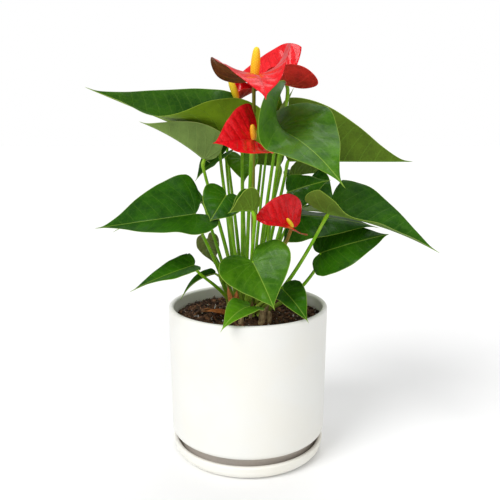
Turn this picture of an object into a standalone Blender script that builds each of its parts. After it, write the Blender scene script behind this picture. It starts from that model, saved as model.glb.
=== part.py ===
"""Potted anthurium in a round white pot on a saucer.

The pot, the saucer, the soil and every leaf, flower and dry scale are separate bodies.
The world origin is the middle of the saucer's flat underside, with +Z up.  Sizes below
are in millimetres and the finished bodies are in metres.
"""
import math

import bpy
import bmesh
import numpy as np

MM = 0.001

# ---- driving sizes ---------------------------------------------------------------------
RIM_DIAMETER = 165.0        # pot, outside, at the rim
FOOT_TAPER = 0.98           # lower outside diameter over rim diameter
POT_TOP = 158.6             # height of the rim above the saucer's underside
WALL = 5.2                  # pot wall
SAUCER_DIAMETER = 160.0
SAUCER_HEIGHT = 15.6
SAUCER_FLOOR = 5.0
SOIL_BELOW_RIM = 14.0       # soil level under the rim
PLANT_SPREAD = 1.0          # plant's sideways size over the drawn one
PLANT_RISE = 1.0            # plant's height over the drawn one
STALK_FOOT = 2.5            # radius of a leaf stalk at the crown
STALK_TOP = 1.5             # radius of a leaf stalk under its blade
SLOT_SPACING = 6.9          # between neighbouring stalk feet
BLADE_THICKNESS = 0.8
GAP = 0.3                   # between bodies that touch
DRAWN_RIM = 165.0           # rim diameter at which leaves over the rim are placed
FOOT_INSET = 8.0            # pot's foot inside the saucer's edge
FOOT_STEP = 6.4             # rim of the saucer up to the pot's wider part
POT_FLOOR = 12.0            # top of the inner rounding above that step
CROWN_HEIGHT = 7.0
CROWN_AT = (1.0, 6.0)

# ---- outlines: (part of the length from the stalk, part of the half width), tip to notch --
HEART = ((1.0, 0.0), (0.90, 0.045), (0.75, 0.24), (0.55, 0.56), (0.30, 0.87), (0.05, 1.0),
         (-0.18, 0.90), (-0.31, 0.62), (-0.31, 0.33), (-0.18, 0.12), (-0.03, 0.0))
SPATHE = ((1.0, 0.0), (0.90, 0.06), (0.74, 0.30), (0.54, 0.60), (0.30, 0.88), (0.05, 1.0),
          (-0.16, 0.93), (-0.28, 0.70), (-0.28, 0.40), (-0.16, 0.14), (-0.05, 0.0))
ROUND = ((1.0, 0.0), (0.92, 0.09), (0.76, 0.40), (0.55, 0.74), (0.30, 0.95), (0.06, 1.0),
         (-0.12, 0.88), (-0.21, 0.62), (-0.22, 0.33), (-0.14, 0.12), (-0.03, 0.0))
SCALE = ((1.0, 0.0), (0.82, 0.22), (0.60, 0.55), (0.35, 0.88), (0.10, 1.0), (-0.06, 0.85),
         (-0.12, 0.45), (-0.13, 0.0))


def leaf(name, base, tip, face, width, slot, **shape):
    """One entry of the leaf table: stalk end, blade tip, which way the upper face looks."""
    entry = dict(name=name, base=base, tip=tip, face=face, width=width, slot=slot)
    entry.update(fold=(15.0, 15.0), curl=(0.0, 0.0), arch=0.05, sway=0.0, twist=0.0)
    entry.update(wave=0.0, waves=2.0, phase=0.0, lobe=0.0, outline=HEART, over_rim=False)
    entry.update(pinch=(0.0, 0.0), pinch_to=0.25, back=(1.0, 1.0))
    entry.update(rise=None, reach=0.40, arrive=(0.25, 1.0), run=0.20, knee=6.0)
    entry.update(shape)
    return entry


# Positions are measured from the pot's axis on the soil.  "slot" is (ring, place) on the
# crown, "fold" and "curl" are for the blade's left and right halves, in degrees.
LEAVES = (
    leaf("leaf_top_left", (-28, 4, 180), (-158, -10, 233), (0.3, 0.0, 1.0), 104, (2, 6),
         fold=(0, 54), pinch=(78, 28), pinch_to=0.6, arch=0.0, back=(1.0, 0.05)),
    leaf("leaf_upper_left", (-43, -12, 164), (-103, -30, 200), (0.3, 0.2, 1.0), 62, (2, 7),
         fold=(62, 20), arch=0.045, back=(0.4, 0.4)),
    leaf("leaf_back_left", (-28, 32, 166), (-56, 27, 139), (0.0, -0.3, 1.0), 34, (2, 5),
         fold=(15, 40)),
    leaf("leaf_top_front", (28, -40, 193), (82, -110, 144), (-0.1, -0.35, 1.0), 102, (2, 10),
         fold=(0, 6), curl=(8, 16), pinch=(16, 102), pinch_to=0.4, arch=0.08, wave=0.04),
    leaf("leaf_left", (-51, -40, 113), (-141, -65, 103), (0.0, -0.7, 0.8), 86, (3, 9),
         fold=(25, 18), arch=0.0, back=(0.6, 0.3)),
    leaf("leaf_left_behind", (-46, -2, 120), (-132, -30, 94), (0.0, -0.2, 1.0), 42, (3, 8),
         fold=(20, 30), arch=0.06, back=(0.1, 0.1)),
    leaf("leaf_far_right", (42, 25, 161), (171, 20, 160), (0.0, 0.1, 1.0), 128, (2, 1),
         fold=(60, 80), arch=0.0, back=(0.15, 0.05)),
    leaf("leaf_back_middle", (34, 50, 154), (-24, 46, 157), (0.0, 0.0, 1.0), 56, (3, 4),
         fold=(60, 74), arch=0.02, back=(0.2, 0.2)),
    leaf("leaf_young_upright", (22, 24, 186), (34, 38, 233), (0.2, -1.0, 0.2), 32, (1, 1),
         fold=(15, 15)),
    leaf("leaf_young_narrow", (35, 13, 198), (46, 15, 234), (-0.7, 0.6, 0.2), 16, (1, 0),
         fold=(35, 35)),
    leaf("leaf_round_front", (-21, -48, 131), (-35, -62, 109), (0.0, -1.0, 0.3), 42, (2, 8),
         fold=(10, 10), outline=ROUND),
    leaf("leaf_olive_front", (4, -69, 120), (-18, -79, 119), (0.0, 0.3, 1.0), 44, (2, 9),
         fold=(66, 76)),
    leaf("leaf_small_middle", (-6, 31, 162), (-4, 16, 137), (0.0, -1.0, 0.4), 34, (1, 2),
         fold=(10, 10)),
    leaf("leaf_heart_front", (5, -58, 69), (25, -77, 28), (0.0, -0.85, 0.5), 73, (3, 13),
         fold=(14, 20), arch=0.08),
    leaf("leaf_over_rim", (1, -60, 13), (-25, -96, -1), (-0.1, -0.5, 0.85), 33, (3, 12),
         fold=(12, 12), arch=0.12, back=(0.6, 0.6), over_rim=True),
    leaf("leaf_low_right", (35, -46, 25), (57, -75, 1), (0.3, -0.8, 0.6), 37, (3, 14),
         fold=(16, 16), back=(0.6, 0.6), over_rim=True),
    leaf("leaf_right", (76, -50, 115), (175, -75, 82), (0.0, -0.45, 0.9), 84, (3, 15),
         fold=(22, 36), pinch=(0, 34), arch=0.06, back=(0.1, 0.7),
         rise=(0.75, -0.4, 0.7), reach=0.35),
    leaf("leaf_right_inner", (40, -10, 131), (82, -18, 144), (0.0, -0.8, 0.5), 44, (3, 0),
         fold=(-20, -10), back=(0.1, 0.5)),
    leaf("leaf_right_back", (50, 53, 143), (92, 69, 144), (0.0, 0.1, 1.0), 40, (3, 2),
         fold=(20, 50), back=(0.5, 0.5)),
    leaf("leaf_right_lower", (45, -5, 107), (130, -25, 97), (0.0, -0.6, 0.8), 70, (3, 17),
         fold=(-34, -4), back=(0.1, 0.1)),
    leaf("leaf_right_shaded", (66, 36, 135), (93, 28, 117), (0.3, -0.8, 0.4), 44, (3, 1),
         fold=(12, 12), back=(0.3, 0.3)),
    leaf("leaf_right_low", (73, -19, 71), (137, -36, 93), (0.1, -0.85, 0.5), 58, (3, 16),
         fold=(-20, 20), outline=ROUND, back=(0.5, 0.7), rise=(0.9, -0.2, 0.42), reach=0.55,
         arrive=(0.0, 0.0, 1.0), knee=12.0),
    leaf("leaf_lower_left", (-52, -50, 65), (-110, -70, 44), (0.0, -0.35, 1.0), 36, (3, 11),
         fold=(14, 14), arch=0.03, back=(0.2, 0.2)),
    leaf("leaf_drooping_left", (-33, -20, 50), (-68, -26, 24), (0.0, -0.3, 1.0), 15, (3, 10),
         fold=(35, 35), arch=0.15, back=(0.1, 0.1)),
    leaf("leaf_pale_left", (-43, 20, 76), (-36, 18, 51), (0.0, -1.0, 0.2), 26, (3, 7),
         fold=(20, 20), wave=0.15),
    leaf("leaf_back_high", (-22, 74, 178), (-68, 112, 205), (0.2, 0.1, 1.0), 60, (2, 4),
         fold=(20, 20)),
    leaf("leaf_back_centre", (16, 84, 176), (36, 144, 194), (0.0, 0.0, 1.0), 60, (2, 3),
         fold=(20, 20)),
    leaf("leaf_back_low", (50, 68, 102), (104, 104, 92), (0.0, 0.0, 1.0), 60, (3, 3),
         fold=(20, 20), back=(0.1, 0.1)),
)


def flower(name, base, tip, face, width, slot, spadix, spadix_radius, **shape):
    """One entry of the flower table: a spathe with its spadix, on its own stalk."""
    entry = leaf(name, base, tip, face, width, slot, outline=SPATHE)
    entry.update(spadix=spadix, spadix_radius=spadix_radius, stalk=(2.0, 1.7))
    entry.update(shape)
    return entry


FLOWERS = (
    flower("front", (6, -56, 238), (15, -110, 216), (0.0, -0.2, 1.0), 88, (1, 5),
           (8, -62, 264), 4.2, fold=(4, 6), curl=(84, 34), arch=0.16, lobe=0.7, back=(1.0, 1.45)),
    flower("back", (38, 1, 236), (-14, 31, 246), (0.0, -0.3, 1.0), 88, (2, 0),
           (33, 4, 254), 3.6, fold=(-4, 36), curl=(20, 22), pinch=(56, 0), lobe=0.3,
           back=(2.8, 0.1), outline=ROUND),
    flower("left", (-10, 7, 222), (19, 15, 234), (0.0, -0.3, 1.0), 42, (1, 3),
           (-18, 2, 241), 3.6, fold=(14, 14), curl=(62, 52), back=(0.1, 0.1),
           arrive=(-0.20, -0.28, 0.93), knee=20.0),
    flower("middle", (5, -70, 184), (-30, -95, 181), (0.2, -0.8, 0.5), 64, (1, 4),
           (4, -74, 197), 2.9, fold=(10, 8), curl=(50, 40), back=(0.3, 0.6)),
    flower("young", (42, -44, 101), (4, -64, 112), (0.0, -0.6, 0.8), 62, (2, 11),
           (37, -47, 110), 2.0, fold=(16, 20), curl=(30, 60), back=(0.1, 1.2), outline=ROUND),
)

SCALES = (
    leaf("dry_sheath_upright", (-17, -25, 4), (-14, -28, 27), (0.5, 0.8, 0.1), 13, None,
         fold=(25, 25), outline=SCALE),
    leaf("dry_sheath_left", (-31, -4, 3), (-46, -12, 11), (0.2, 0.2, 1.0), 12, None,
         fold=(20, 20), outline=SCALE),
    leaf("dry_sheath_right", (16, -23, 3), (21, -28, 20), (-0.4, 0.9, 0.1), 12, None,
         fold=(30, 30), outline=SCALE),
)


# ---- derived sizes ----------------------------------------------------------------------
def soil_level():
    """Height of the soil above the saucer's underside."""
    return POT_TOP - SOIL_BELOW_RIM


def placed(entry, key):
    """A table position as a point above the saucer's underside.  A leaf over the rim is
    measured from the rim, every other one from the soil."""
    x, y, z = entry[key]
    if entry["over_rim"]:
        grow = RIM_DIAMETER / DRAWN_RIM
        return np.array([x * grow, y * grow, POT_TOP + z])
    return np.array([x * PLANT_SPREAD, y * PLANT_SPREAD, soil_level() + z * PLANT_RISE])


def unit(vector):
    vector = np.asarray(vector, float)
    return vector / np.linalg.norm(vector)


def blade_axes(entry):
    """Midrib direction, left side, upper face and length of a blade."""
    base = placed(entry, "base")
    span = placed(entry, "tip") - base
    length = float(np.linalg.norm(span))
    along = span / length
    up = np.asarray(entry["face"], float)
    up = unit(up - along * float(up @ along))
    return base, along, np.cross(up, along), up, length


# ---- surfaces ---------------------------------------------------------------------------
def blade_point(entry, u, v):
    """Points of a blade.  u runs along the midrib, 0 at the stalk and 1 at the tip; v runs
    across, -1 to 1.  A half leaves the midrib at its fold angle and turns by its curl on
    the way out: across = w (sin(a + c s) - sin a) / c, up = w (cos a - cos(a + c s)) / c.
    The midrib rises by 4 arch u (1 - u) of the length, and the cross-section turns by
    twist u about it."""
    base, along, left, up, length = blade_axes(entry)
    half = entry["width"] * 0.5 * length / table_length(entry)
    s = np.abs(v)
    on_left = v > 0.0
    near_stalk = np.clip((entry["pinch_to"] - u) / (entry["pinch_to"] + 0.25), 0.0, 1.0)
    near_stalk = near_stalk * near_stalk * (3.0 - 2.0 * near_stalk)
    folded = np.where(on_left, entry["fold"][0], entry["fold"][1])
    folded = folded + near_stalk * np.where(on_left, entry["pinch"][0], entry["pinch"][1])
    a = np.radians(folded)
    u = np.where(u < 0.0, u * np.where(on_left, entry["back"][0], entry["back"][1]), u)
    c = np.radians(np.where(on_left, entry["curl"][0], entry["curl"][1])) + 1e-4
    across = half * (np.sin(a + c * s) - np.sin(a)) / c * np.sign(v)
    lift = half * (np.cos(a) - np.cos(a + c * s)) / c
    ripple = np.sin(2.0 * np.pi * (entry["waves"] * u + entry["phase"]))
    lift = lift + entry["wave"] * half * s * s * ripple
    turn = np.radians(entry["twist"]) * u
    side = across * np.cos(turn) - lift * np.sin(turn)
    rise = across * np.sin(turn) + lift * np.cos(turn)
    rise = rise + 4.0 * entry["arch"] * length * u * (1.0 - u)
    rise = rise + entry["lobe"] * length * np.minimum(u, 0.0) ** 2
    side = side + 4.0 * entry["sway"] * length * u * (1.0 - u)
    return (base + np.multiply.outer(u * length, along)
            + np.multiply.outer(side, left) + np.multiply.outer(rise, up))


def table_length(entry):
    return float(np.linalg.norm(np.subtract(entry["tip"], entry["base"])))


def blade_normal(entry, u, v):
    """Upper-face normals, from central differences of blade_point."""
    step = 0.01
    du = blade_point(entry, u + step, v) - blade_point(entry, u - step, v)
    dv = blade_point(entry, u, v + step) - blade_point(entry, u, v - step)
    normal = np.cross(du, dv)
    return normal / np.linalg.norm(normal, axis=-1, keepdims=True)


def spline(points, t):
    """Catmull-Rom curve through points, t from 0 to 1."""
    p = np.asarray(points, float)
    ends = np.vstack([2.0 * p[0] - p[1], p, 2.0 * p[-1] - p[-2]])
    x = np.clip(t, 0.0, 1.0) * (len(p) - 1)
    i = np.minimum(x.astype(int), len(p) - 2)
    f = (x - i)[:, None]
    a, b, c, d = ends[i], ends[i + 1], ends[i + 2], ends[i + 3]
    return 0.5 * (2.0 * b + (c - a) * f + (2.0 * a - 5.0 * b + 4.0 * c - d) * f * f
                  + (3.0 * b - a - 3.0 * c + d) * f ** 3)


def blade_sheet(entry, rays, rings):
    """A blade's middle surface: rings around the stalk end, scaled copies of the outline."""
    half = spline(entry["outline"], np.linspace(0.0, 1.0, rays + 1))
    half[0, 1] = 0.0
    half[-1, 1] = 0.0
    rim = np.vstack([half, half[-2:0:-1] * (1.0, -1.0)])
    count = len(rim)
    out = (np.arange(1, rings + 1) / rings) ** 0.8
    uv = np.vstack([[[0.0, 0.0]], (out[:, None, None] * rim[None]).reshape(-1, 2)])
    k = np.arange(count)
    n = (k + 1) % count
    faces = [(0, 1 + a, 1 + b) for a, b in zip(k, n)]
    for ring in range(rings - 1):
        i = 1 + ring * count
        faces += [(i + a, i + count + a, i + count + b, i + b) for a, b in zip(k, n)]
    return blade_point(entry, uv[:, 0], uv[:, 1]), faces


# ---- stalks -----------------------------------------------------------------------------
def slot_point(slot):
    """Foot of a stalk: places spread evenly on rings around the crown's middle."""
    ring, place = slot
    radius = ring * SLOT_SPACING
    angle = 2.0 * math.pi * place / max(6 * ring, 1)
    x = CROWN_AT[0] + radius * math.cos(angle)
    y = CROWN_AT[1] + radius * math.sin(angle)
    return np.array([x, y, soil_level() + GAP + CROWN_HEIGHT + GAP])


def arriving_way(entry):
    """Which way a stalk is going where it meets its blade."""
    base, along, left, up, length = blade_axes(entry)
    if len(entry["arrive"]) == 3:
        return unit(entry["arrive"])
    return unit(entry["arrive"][0] * along + entry["arrive"][1] * up)


def stalk_path(entry, end, arriving, count):
    """A cubic from the crown that leaves along rise and comes in nearly straight, then a
    short knee that turns into the blade."""
    start = slot_point(entry["slot"])
    low = end - arriving * min(entry["knee"], 0.12 * float(np.linalg.norm(end - start)))
    span = float(np.linalg.norm(low - start))
    rise = entry["rise"]
    if rise is None:
        rise = (low - start) * (0.45, 0.45, 1.0)
    first = start + unit(rise) * entry["reach"] * span
    last = low - unit((low - start) * (1.0, 1.0, 1.3)) * entry["run"] * span
    t = np.linspace(0.0, 1.0, count)[:, None]
    path = ((1 - t) ** 3 * start + 3 * (1 - t) ** 2 * t * first
            + 3 * (1 - t) * t * t * last + t ** 3 * low)
    return np.vstack([start, start + (0.0, 0.0, 0.8), path[1:], end])


def face_at_stalk(entry):
    """The upper-face normal where the stalk meets the blade."""
    zero = np.zeros(1)
    return blade_normal(entry, zero, zero)[0]


def leaf_stalk(entry, count):
    """Path and radii of a leaf's stalk.  It ends inside the blade, a little thicker there."""
    base, along, left, up, length = blade_axes(entry)
    arriving = arriving_way(entry)
    big = min(1.0, 0.45 + entry["width"] / 90.0)
    top = STALK_TOP * big
    normal = face_at_stalk(entry)
    tilt = math.sqrt(max(0.0, 1.0 - float(arriving @ normal) ** 2))
    end = base + arriving * (BLADE_THICKNESS * 0.5 + top * tilt + 0.25)
    path = stalk_path(entry, end, arriving, count)
    t = np.linspace(0.0, 1.0, len(path))
    foot = STALK_FOOT * (0.6 + 0.4 * big)
    radii = foot + (top - foot) * t ** 0.7
    radii[-2] = radii[-2] * 1.15
    radii[-1] = radii[-1] * 0.8
    return path, radii


def flower_stalk(entry, count):
    """Path and radii of a flower's stalk, which ends just under its spathe."""
    base, along, left, up, length = blade_axes(entry)
    arriving = arriving_way(entry)
    foot, top = entry["stalk"]
    normal = face_at_stalk(entry)
    tilt = math.sqrt(max(0.0, 1.0 - float(arriving @ normal) ** 2))
    drop = (BLADE_THICKNESS * 0.5 + GAP + top * tilt) / max(0.3, float(arriving @ normal))
    path = stalk_path(entry, base - arriving * drop, arriving, count)
    return path, foot + (top - foot) * np.linspace(0.0, 1.0, len(path))


def spadix_rod(entry, count):
    """Path and radii of a spadix: a blunt rod, widest below its middle."""
    base, along, left, up, length = blade_axes(entry)
    tip = placed(entry, "spadix")
    axis = unit(tip - base)
    radius = entry["spadix_radius"]
    normal = face_at_stalk(entry)
    tilt = math.sqrt(max(0.0, 1.0 - float(axis @ normal) ** 2))
    wide = 0.8 * radius
    steep = math.tan(math.radians(sum(entry["fold"]) / 2.0))
    bowl = wide * steep + wide * wide * math.radians(max(entry["curl"])) / entry["width"]
    start = base + normal * (BLADE_THICKNESS * 0.5 + GAP + wide * tilt + bowl)
    t = np.sin(np.linspace(0.0, 1.0, count) * math.pi / 2)
    path = start + np.multiply.outer(t, tip - start)
    radii = radius * (0.72 + 0.28 * np.sin(math.pi * np.minimum(t * 1.25, 1.0)))
    return path, radii * np.sqrt(np.clip(1.0 - t ** 6, 0.08, 1.0))


# ---- pot, saucer, soil, crown -----------------------------------------------------------
def arc(cx, cz, rx, rz, start, stop, count):
    """Points of an ellipse quarter, angles in degrees."""
    angles = np.radians(np.linspace(start, stop, count))
    return [(cx + rx * math.cos(a), cz + rz * math.sin(a)) for a in angles]


def pot_profile():
    """Outside from the middle of the underside up to the rim, then the inside down."""
    rim = RIM_DIAMETER / 2
    low = rim * FOOT_TAPER
    foot = SAUCER_DIAMETER / 2 - FOOT_INSET
    floor = SAUCER_FLOOR + GAP
    step = SAUCER_HEIGHT + FOOT_STEP
    profile = [(0.0, floor), (foot - 1.5, floor), (foot, floor + 1.5), (foot, step - 1.2)]
    profile += [(foot + 1.2, step)]
    profile += arc(low - 6.0, step + 6.0, 6.0, 6.0, -90, 0, 4)
    profile += [(rim, POT_TOP - 3.0)]
    profile += arc(rim - WALL / 2, POT_TOP - 2.6, WALL / 2, 2.6, 0, 180, 7)
    profile += [(low - WALL - 0.3, step + POT_FLOOR)]
    profile += arc(low - WALL - 8.3, step + POT_FLOOR, 8.0, 6.0, 0, -90, 3)[1:]
    profile += [(0.0, step + 6.0)]
    return profile


def saucer_profile():
    """A low dish: flat underside, rounded outer edge, rounded lip, flat floor."""
    out = SAUCER_DIAMETER / 2
    base = out - 12.0
    profile = [(0.0, 0.0), (base, 0.0)]
    profile += arc(base, 10.0, out - 0.8 - base, 10.0, -80, 0, 5)
    profile += arc(out - 2.4, SAUCER_HEIGHT - 2.2, 2.4, 2.2, 0, 180, 5)
    profile += [(out - 6.4, SAUCER_FLOOR + 1.6), (out - 7.4, SAUCER_FLOOR), (0.0, SAUCER_FLOOR)]
    return profile


def inner_radius(height):
    """Inside radius of the pot at a height above its inner floor's rounding."""
    rim = RIM_DIAMETER / 2
    low = rim * FOOT_TAPER
    bottom = SAUCER_HEIGHT + FOOT_STEP + POT_FLOOR
    part = (height - bottom) / (POT_TOP - 3.0 - bottom)
    return (low - WALL - 0.3) + (rim - low + 0.3) * part


def soil_bumps(x, y):
    """Coarse unevenness of the soil, none of it under the crown."""
    r = np.hypot(x - CROWN_AT[0], y - CROWN_AT[1])
    rough = (np.sin(0.31 * x + 0.7) * np.cos(0.27 * y - 0.4)
             + 0.6 * np.sin(0.53 * x - 0.41 * y) + 0.4 * np.cos(0.71 * y + 0.37 * x + 1.0))
    fade = np.clip((r - 36.0) / 10.0, 0.0, 1.0)
    return 1.5 * rough * fade


def soil_body(segments, rings):
    top = soil_level()
    edge = inner_radius(top) - GAP - 0.2
    low = SAUCER_HEIGHT + FOOT_STEP + POT_FLOOR
    lower_edge = inner_radius(low) - GAP - 0.2
    angle = np.linspace(0.0, 2.0 * np.pi, segments, endpoint=False)
    points = [(0.0, 0.0, low - 5.4)]
    rows = []
    for radius, height in ((lower_edge - 10.0, low - 5.4), (lower_edge, low + 1.0)):
        rows.append(len(points))
        points += [(radius * math.cos(a), radius * math.sin(a), height) for a in angle]
    for ring in range(rings, 0, -1):
        radius = edge * ring / rings
        rows.append(len(points))
        x = radius * np.cos(angle)
        y = radius * np.sin(angle)
        z = top + soil_bumps(x, y)
        points += list(zip(x, y, z))
    middle = len(points)
    points.append((0.0, 0.0, top + float(soil_bumps(np.zeros(1), np.zeros(1))[0])))
    faces = []
    k = np.arange(segments)
    n = (k + 1) % segments
    faces += [(0, rows[0] + b, rows[0] + a) for a, b in zip(k, n)]
    for low_row, high_row in zip(rows, rows[1:]):
        faces += [(low_row + a, low_row + b, high_row + b, high_row + a) for a, b in zip(k, n)]
    faces += [(middle, rows[-1] + a, rows[-1] + b) for a, b in zip(k, n)]
    return np.array(points, float), faces


def crown_profile():
    """The stem clump that the stalks stand on: nearly flat on top, round at its edge."""
    reach = 3.0 * SLOT_SPACING + STALK_FOOT + 1.0
    low = soil_level() + GAP
    profile = [(0.0, low), (reach - 1.5, low)]
    profile += arc(reach - 4.0, low + CROWN_HEIGHT * 0.45, 4.0, CROWN_HEIGHT * 0.45, -60, 0, 4)
    profile += arc(reach - 5.0, low + CROWN_HEIGHT * 0.45, 5.0, CROWN_HEIGHT * 0.55, 0, 90, 5)[1:]
    profile += [(0.0, low + CROWN_HEIGHT)]
    return profile


# ---- bodies and materials ---------------------------------------------------------------
def material(name, colour, roughness, coat=0.0):
    made = bpy.data.materials.new(name)
    made.use_nodes = True
    shader = made.node_tree.nodes["Principled BSDF"]
    shader.inputs["Base Color"].default_value = (*colour, 1.0)
    shader.inputs["Roughness"].default_value = roughness
    shader.inputs["Coat Weight"].default_value = coat
    made.diffuse_color = (*colour, 1.0)
    return made


def link(name, data, finish):
    """A new object holding data, with its material."""
    if finish is not None:
        data.materials.append(finish)
    made = bpy.data.objects.new(name, data)
    bpy.context.scene.collection.objects.link(made)
    return made


def make_mesh(name, points, faces, finish):
    mesh = bpy.data.meshes.new(name)
    mesh.from_pydata([tuple(p) for p in np.asarray(points) * MM], [],
                     [tuple(int(i) for i in f) for f in faces])
    return link(name, mesh, finish)


def make_turned(name, profile, segments, finish, centre=(0.0, 0.0)):
    """Spins a profile of (radius, height) about the upright axis through centre."""
    work = bmesh.new()
    points = [work.verts.new((r * MM, 0.0, z * MM)) for r, z in profile]
    edges = [work.edges.new(pair) for pair in zip(points, points[1:])]
    bmesh.ops.spin(work, geom=points + edges, cent=(0, 0, 0), axis=(0, 0, 1),
                   angle=2 * math.pi, steps=segments, use_merge=True)
    bmesh.ops.remove_doubles(work, verts=work.verts, dist=0.00001)
    bmesh.ops.recalc_face_normals(work, faces=work.faces)
    mesh = bpy.data.meshes.new(name)
    work.to_mesh(mesh)
    work.free()
    mesh.shade_smooth()
    made = link(name, mesh, finish)
    made.location = (centre[0] * MM, centre[1] * MM, 0.0)
    return made


def make_rod(name, path, radii, sides, finish):
    """A bevelled curve through the path, its radius set at every point."""
    curve = bpy.data.curves.new(name, "CURVE")
    curve.dimensions = "3D"
    curve.bevel_depth = MM
    curve.bevel_resolution = (sides - 4) // 2
    curve.use_fill_caps = True
    line = curve.splines.new("POLY")
    line.points.add(len(path) - 1)
    for point, place, radius in zip(line.points, path, radii):
        point.co = (*(place * MM), 1.0)
        point.radius = radius
    return link(name, curve, finish)


def make_blade(name, entry, rays, rings, finish):
    """The blade's sheet made solid to its thickness, half on each side.  One without a
    stalk is dropped until its lowest edge is a gap above the soil."""
    points, faces = blade_sheet(entry, rays, rings)
    if entry["slot"] is None:
        rest = soil_level() + GAP + BLADE_THICKNESS / 2
        points[:, 2] += rest - points[:, 2].min()
    made = make_mesh(name, points, faces, finish)
    solid = made.modifiers.new("thickness", "SOLIDIFY")
    solid.thickness = BLADE_THICKNESS * MM
    solid.offset = 0.0
    made.data.shade_smooth()
    return made


def face_count(made):
    graph = bpy.context.evaluated_depsgraph_get()
    return len(made.evaluated_get(graph).data.polygons)


def join_stalk(blade, rod):
    """Unites a blade with its stalk, whose curve is first made a closed mesh and hidden.
    Where the EXACT solver loses one of the two, the MANIFOLD solver does the union."""
    graph = bpy.context.evaluated_depsgraph_get()
    mesh = bpy.data.meshes.new_from_object(rod.evaluated_get(graph))
    work = bmesh.new()
    work.from_mesh(mesh)
    bmesh.ops.remove_doubles(work, verts=work.verts, dist=0.000002)
    bmesh.ops.recalc_face_normals(work, faces=work.faces)
    work.to_mesh(mesh)
    work.free()
    name = rod.name
    bpy.data.objects.remove(rod, do_unlink=True)
    cutter = link(name, mesh, None)
    cutter.hide_render = True
    cutter.display_type = "WIRE"
    both = face_count(blade) + face_count(cutter)
    union = blade.modifiers.new("stalk", "BOOLEAN")
    union.operation = "UNION"
    union.solver = "EXACT"
    union.object = cutter
    if face_count(blade) < 0.85 * both:
        union.solver = "MANIFOLD"


def main():
    for old in list(bpy.data.objects):
        bpy.data.objects.remove(old, do_unlink=True)
    ceramic = material("white_ceramic", (0.86, 0.86, 0.84), 0.45)
    earth = material("bark_soil", (0.055, 0.030, 0.018), 0.95)
    root = material("crown_stem", (0.16, 0.11, 0.045), 0.8)
    dry = material("dry_sheath", (0.32, 0.11, 0.03), 0.85)
    green = material("leaf_green", (0.045, 0.17, 0.025), 0.35, 0.2)
    red = material("spathe_red", (0.72, 0.012, 0.018), 0.25, 0.5)
    yellow = material("spadix_yellow", (0.85, 0.55, 0.04), 0.6)
    stem = material("flower_stalk", (0.20, 0.22, 0.05), 0.5)

    make_turned("saucer", saucer_profile(), 36, ceramic)
    make_turned("pot", pot_profile(), 40, ceramic)
    make_mesh("soil", *soil_body(32, 5), earth)
    make_turned("crown", crown_profile(), 20, root, CROWN_AT)

    for entry in SCALES:
        make_blade(entry["name"], entry, 7, 3, dry)
    for entry in LEAVES:
        rays = 8 if entry["width"] > 45 else 7
        blade = make_blade(entry["name"], entry, rays, 3, green)
        rod = make_rod(entry["name"] + "_stalk", *leaf_stalk(entry, 6), 6, green)
        join_stalk(blade, rod)
    for entry in FLOWERS:
        name = "flower_" + entry["name"]
        make_blade(name + "_spathe", entry, 8, 4, red)
        make_rod(name + "_spadix", *spadix_rod(entry, 7), 8, yellow)
        make_rod(name + "_stalk", *flower_stalk(entry, 6), 6, stem)


if __name__ == "__main__":
    main()
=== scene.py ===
"""Potted anthurium: the finished look of a flowering plant in a round white pot.

The solid model is loaded as a fixed frame.  Every piece here is a finer surface that
takes the place of one of its nodes, or a small loose thing on the soil.  Surfaces are
worked out in millimetres from the saucer's underside and stored in metres.
"""
import math

import bpy
import numpy as np
from bpy.props import FloatProperty, FloatVectorProperty, IntProperty, PointerProperty
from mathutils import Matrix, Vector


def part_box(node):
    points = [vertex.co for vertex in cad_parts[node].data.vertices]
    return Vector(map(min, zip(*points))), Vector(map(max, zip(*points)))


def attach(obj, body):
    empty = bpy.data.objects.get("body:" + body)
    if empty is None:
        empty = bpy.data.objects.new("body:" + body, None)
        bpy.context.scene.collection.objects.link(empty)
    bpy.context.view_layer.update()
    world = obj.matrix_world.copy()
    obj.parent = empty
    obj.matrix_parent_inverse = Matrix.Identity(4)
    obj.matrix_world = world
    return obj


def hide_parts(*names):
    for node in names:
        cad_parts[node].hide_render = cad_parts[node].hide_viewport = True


bl_info = {
    "name": "Potted Anthurium",
    "version": (1, 0, 0),
    "blender": (4, 5, 0),
    "location": "View3D > Sidebar > Anthurium",
    "description": "Builds the fine surfaces and finishes of a potted anthurium",
    "category": "Object",
}

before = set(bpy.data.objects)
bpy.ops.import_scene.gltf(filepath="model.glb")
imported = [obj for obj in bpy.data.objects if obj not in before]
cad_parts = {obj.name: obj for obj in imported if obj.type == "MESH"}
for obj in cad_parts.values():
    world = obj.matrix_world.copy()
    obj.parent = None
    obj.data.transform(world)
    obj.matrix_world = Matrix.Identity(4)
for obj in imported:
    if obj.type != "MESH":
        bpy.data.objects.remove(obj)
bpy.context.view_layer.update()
MM = 0.001


def box_mm(node):
    """Lowest and highest corner of a node of the solid model, in millimetres."""
    low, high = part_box(node)
    return np.array(low) / MM, np.array(high) / MM


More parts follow.
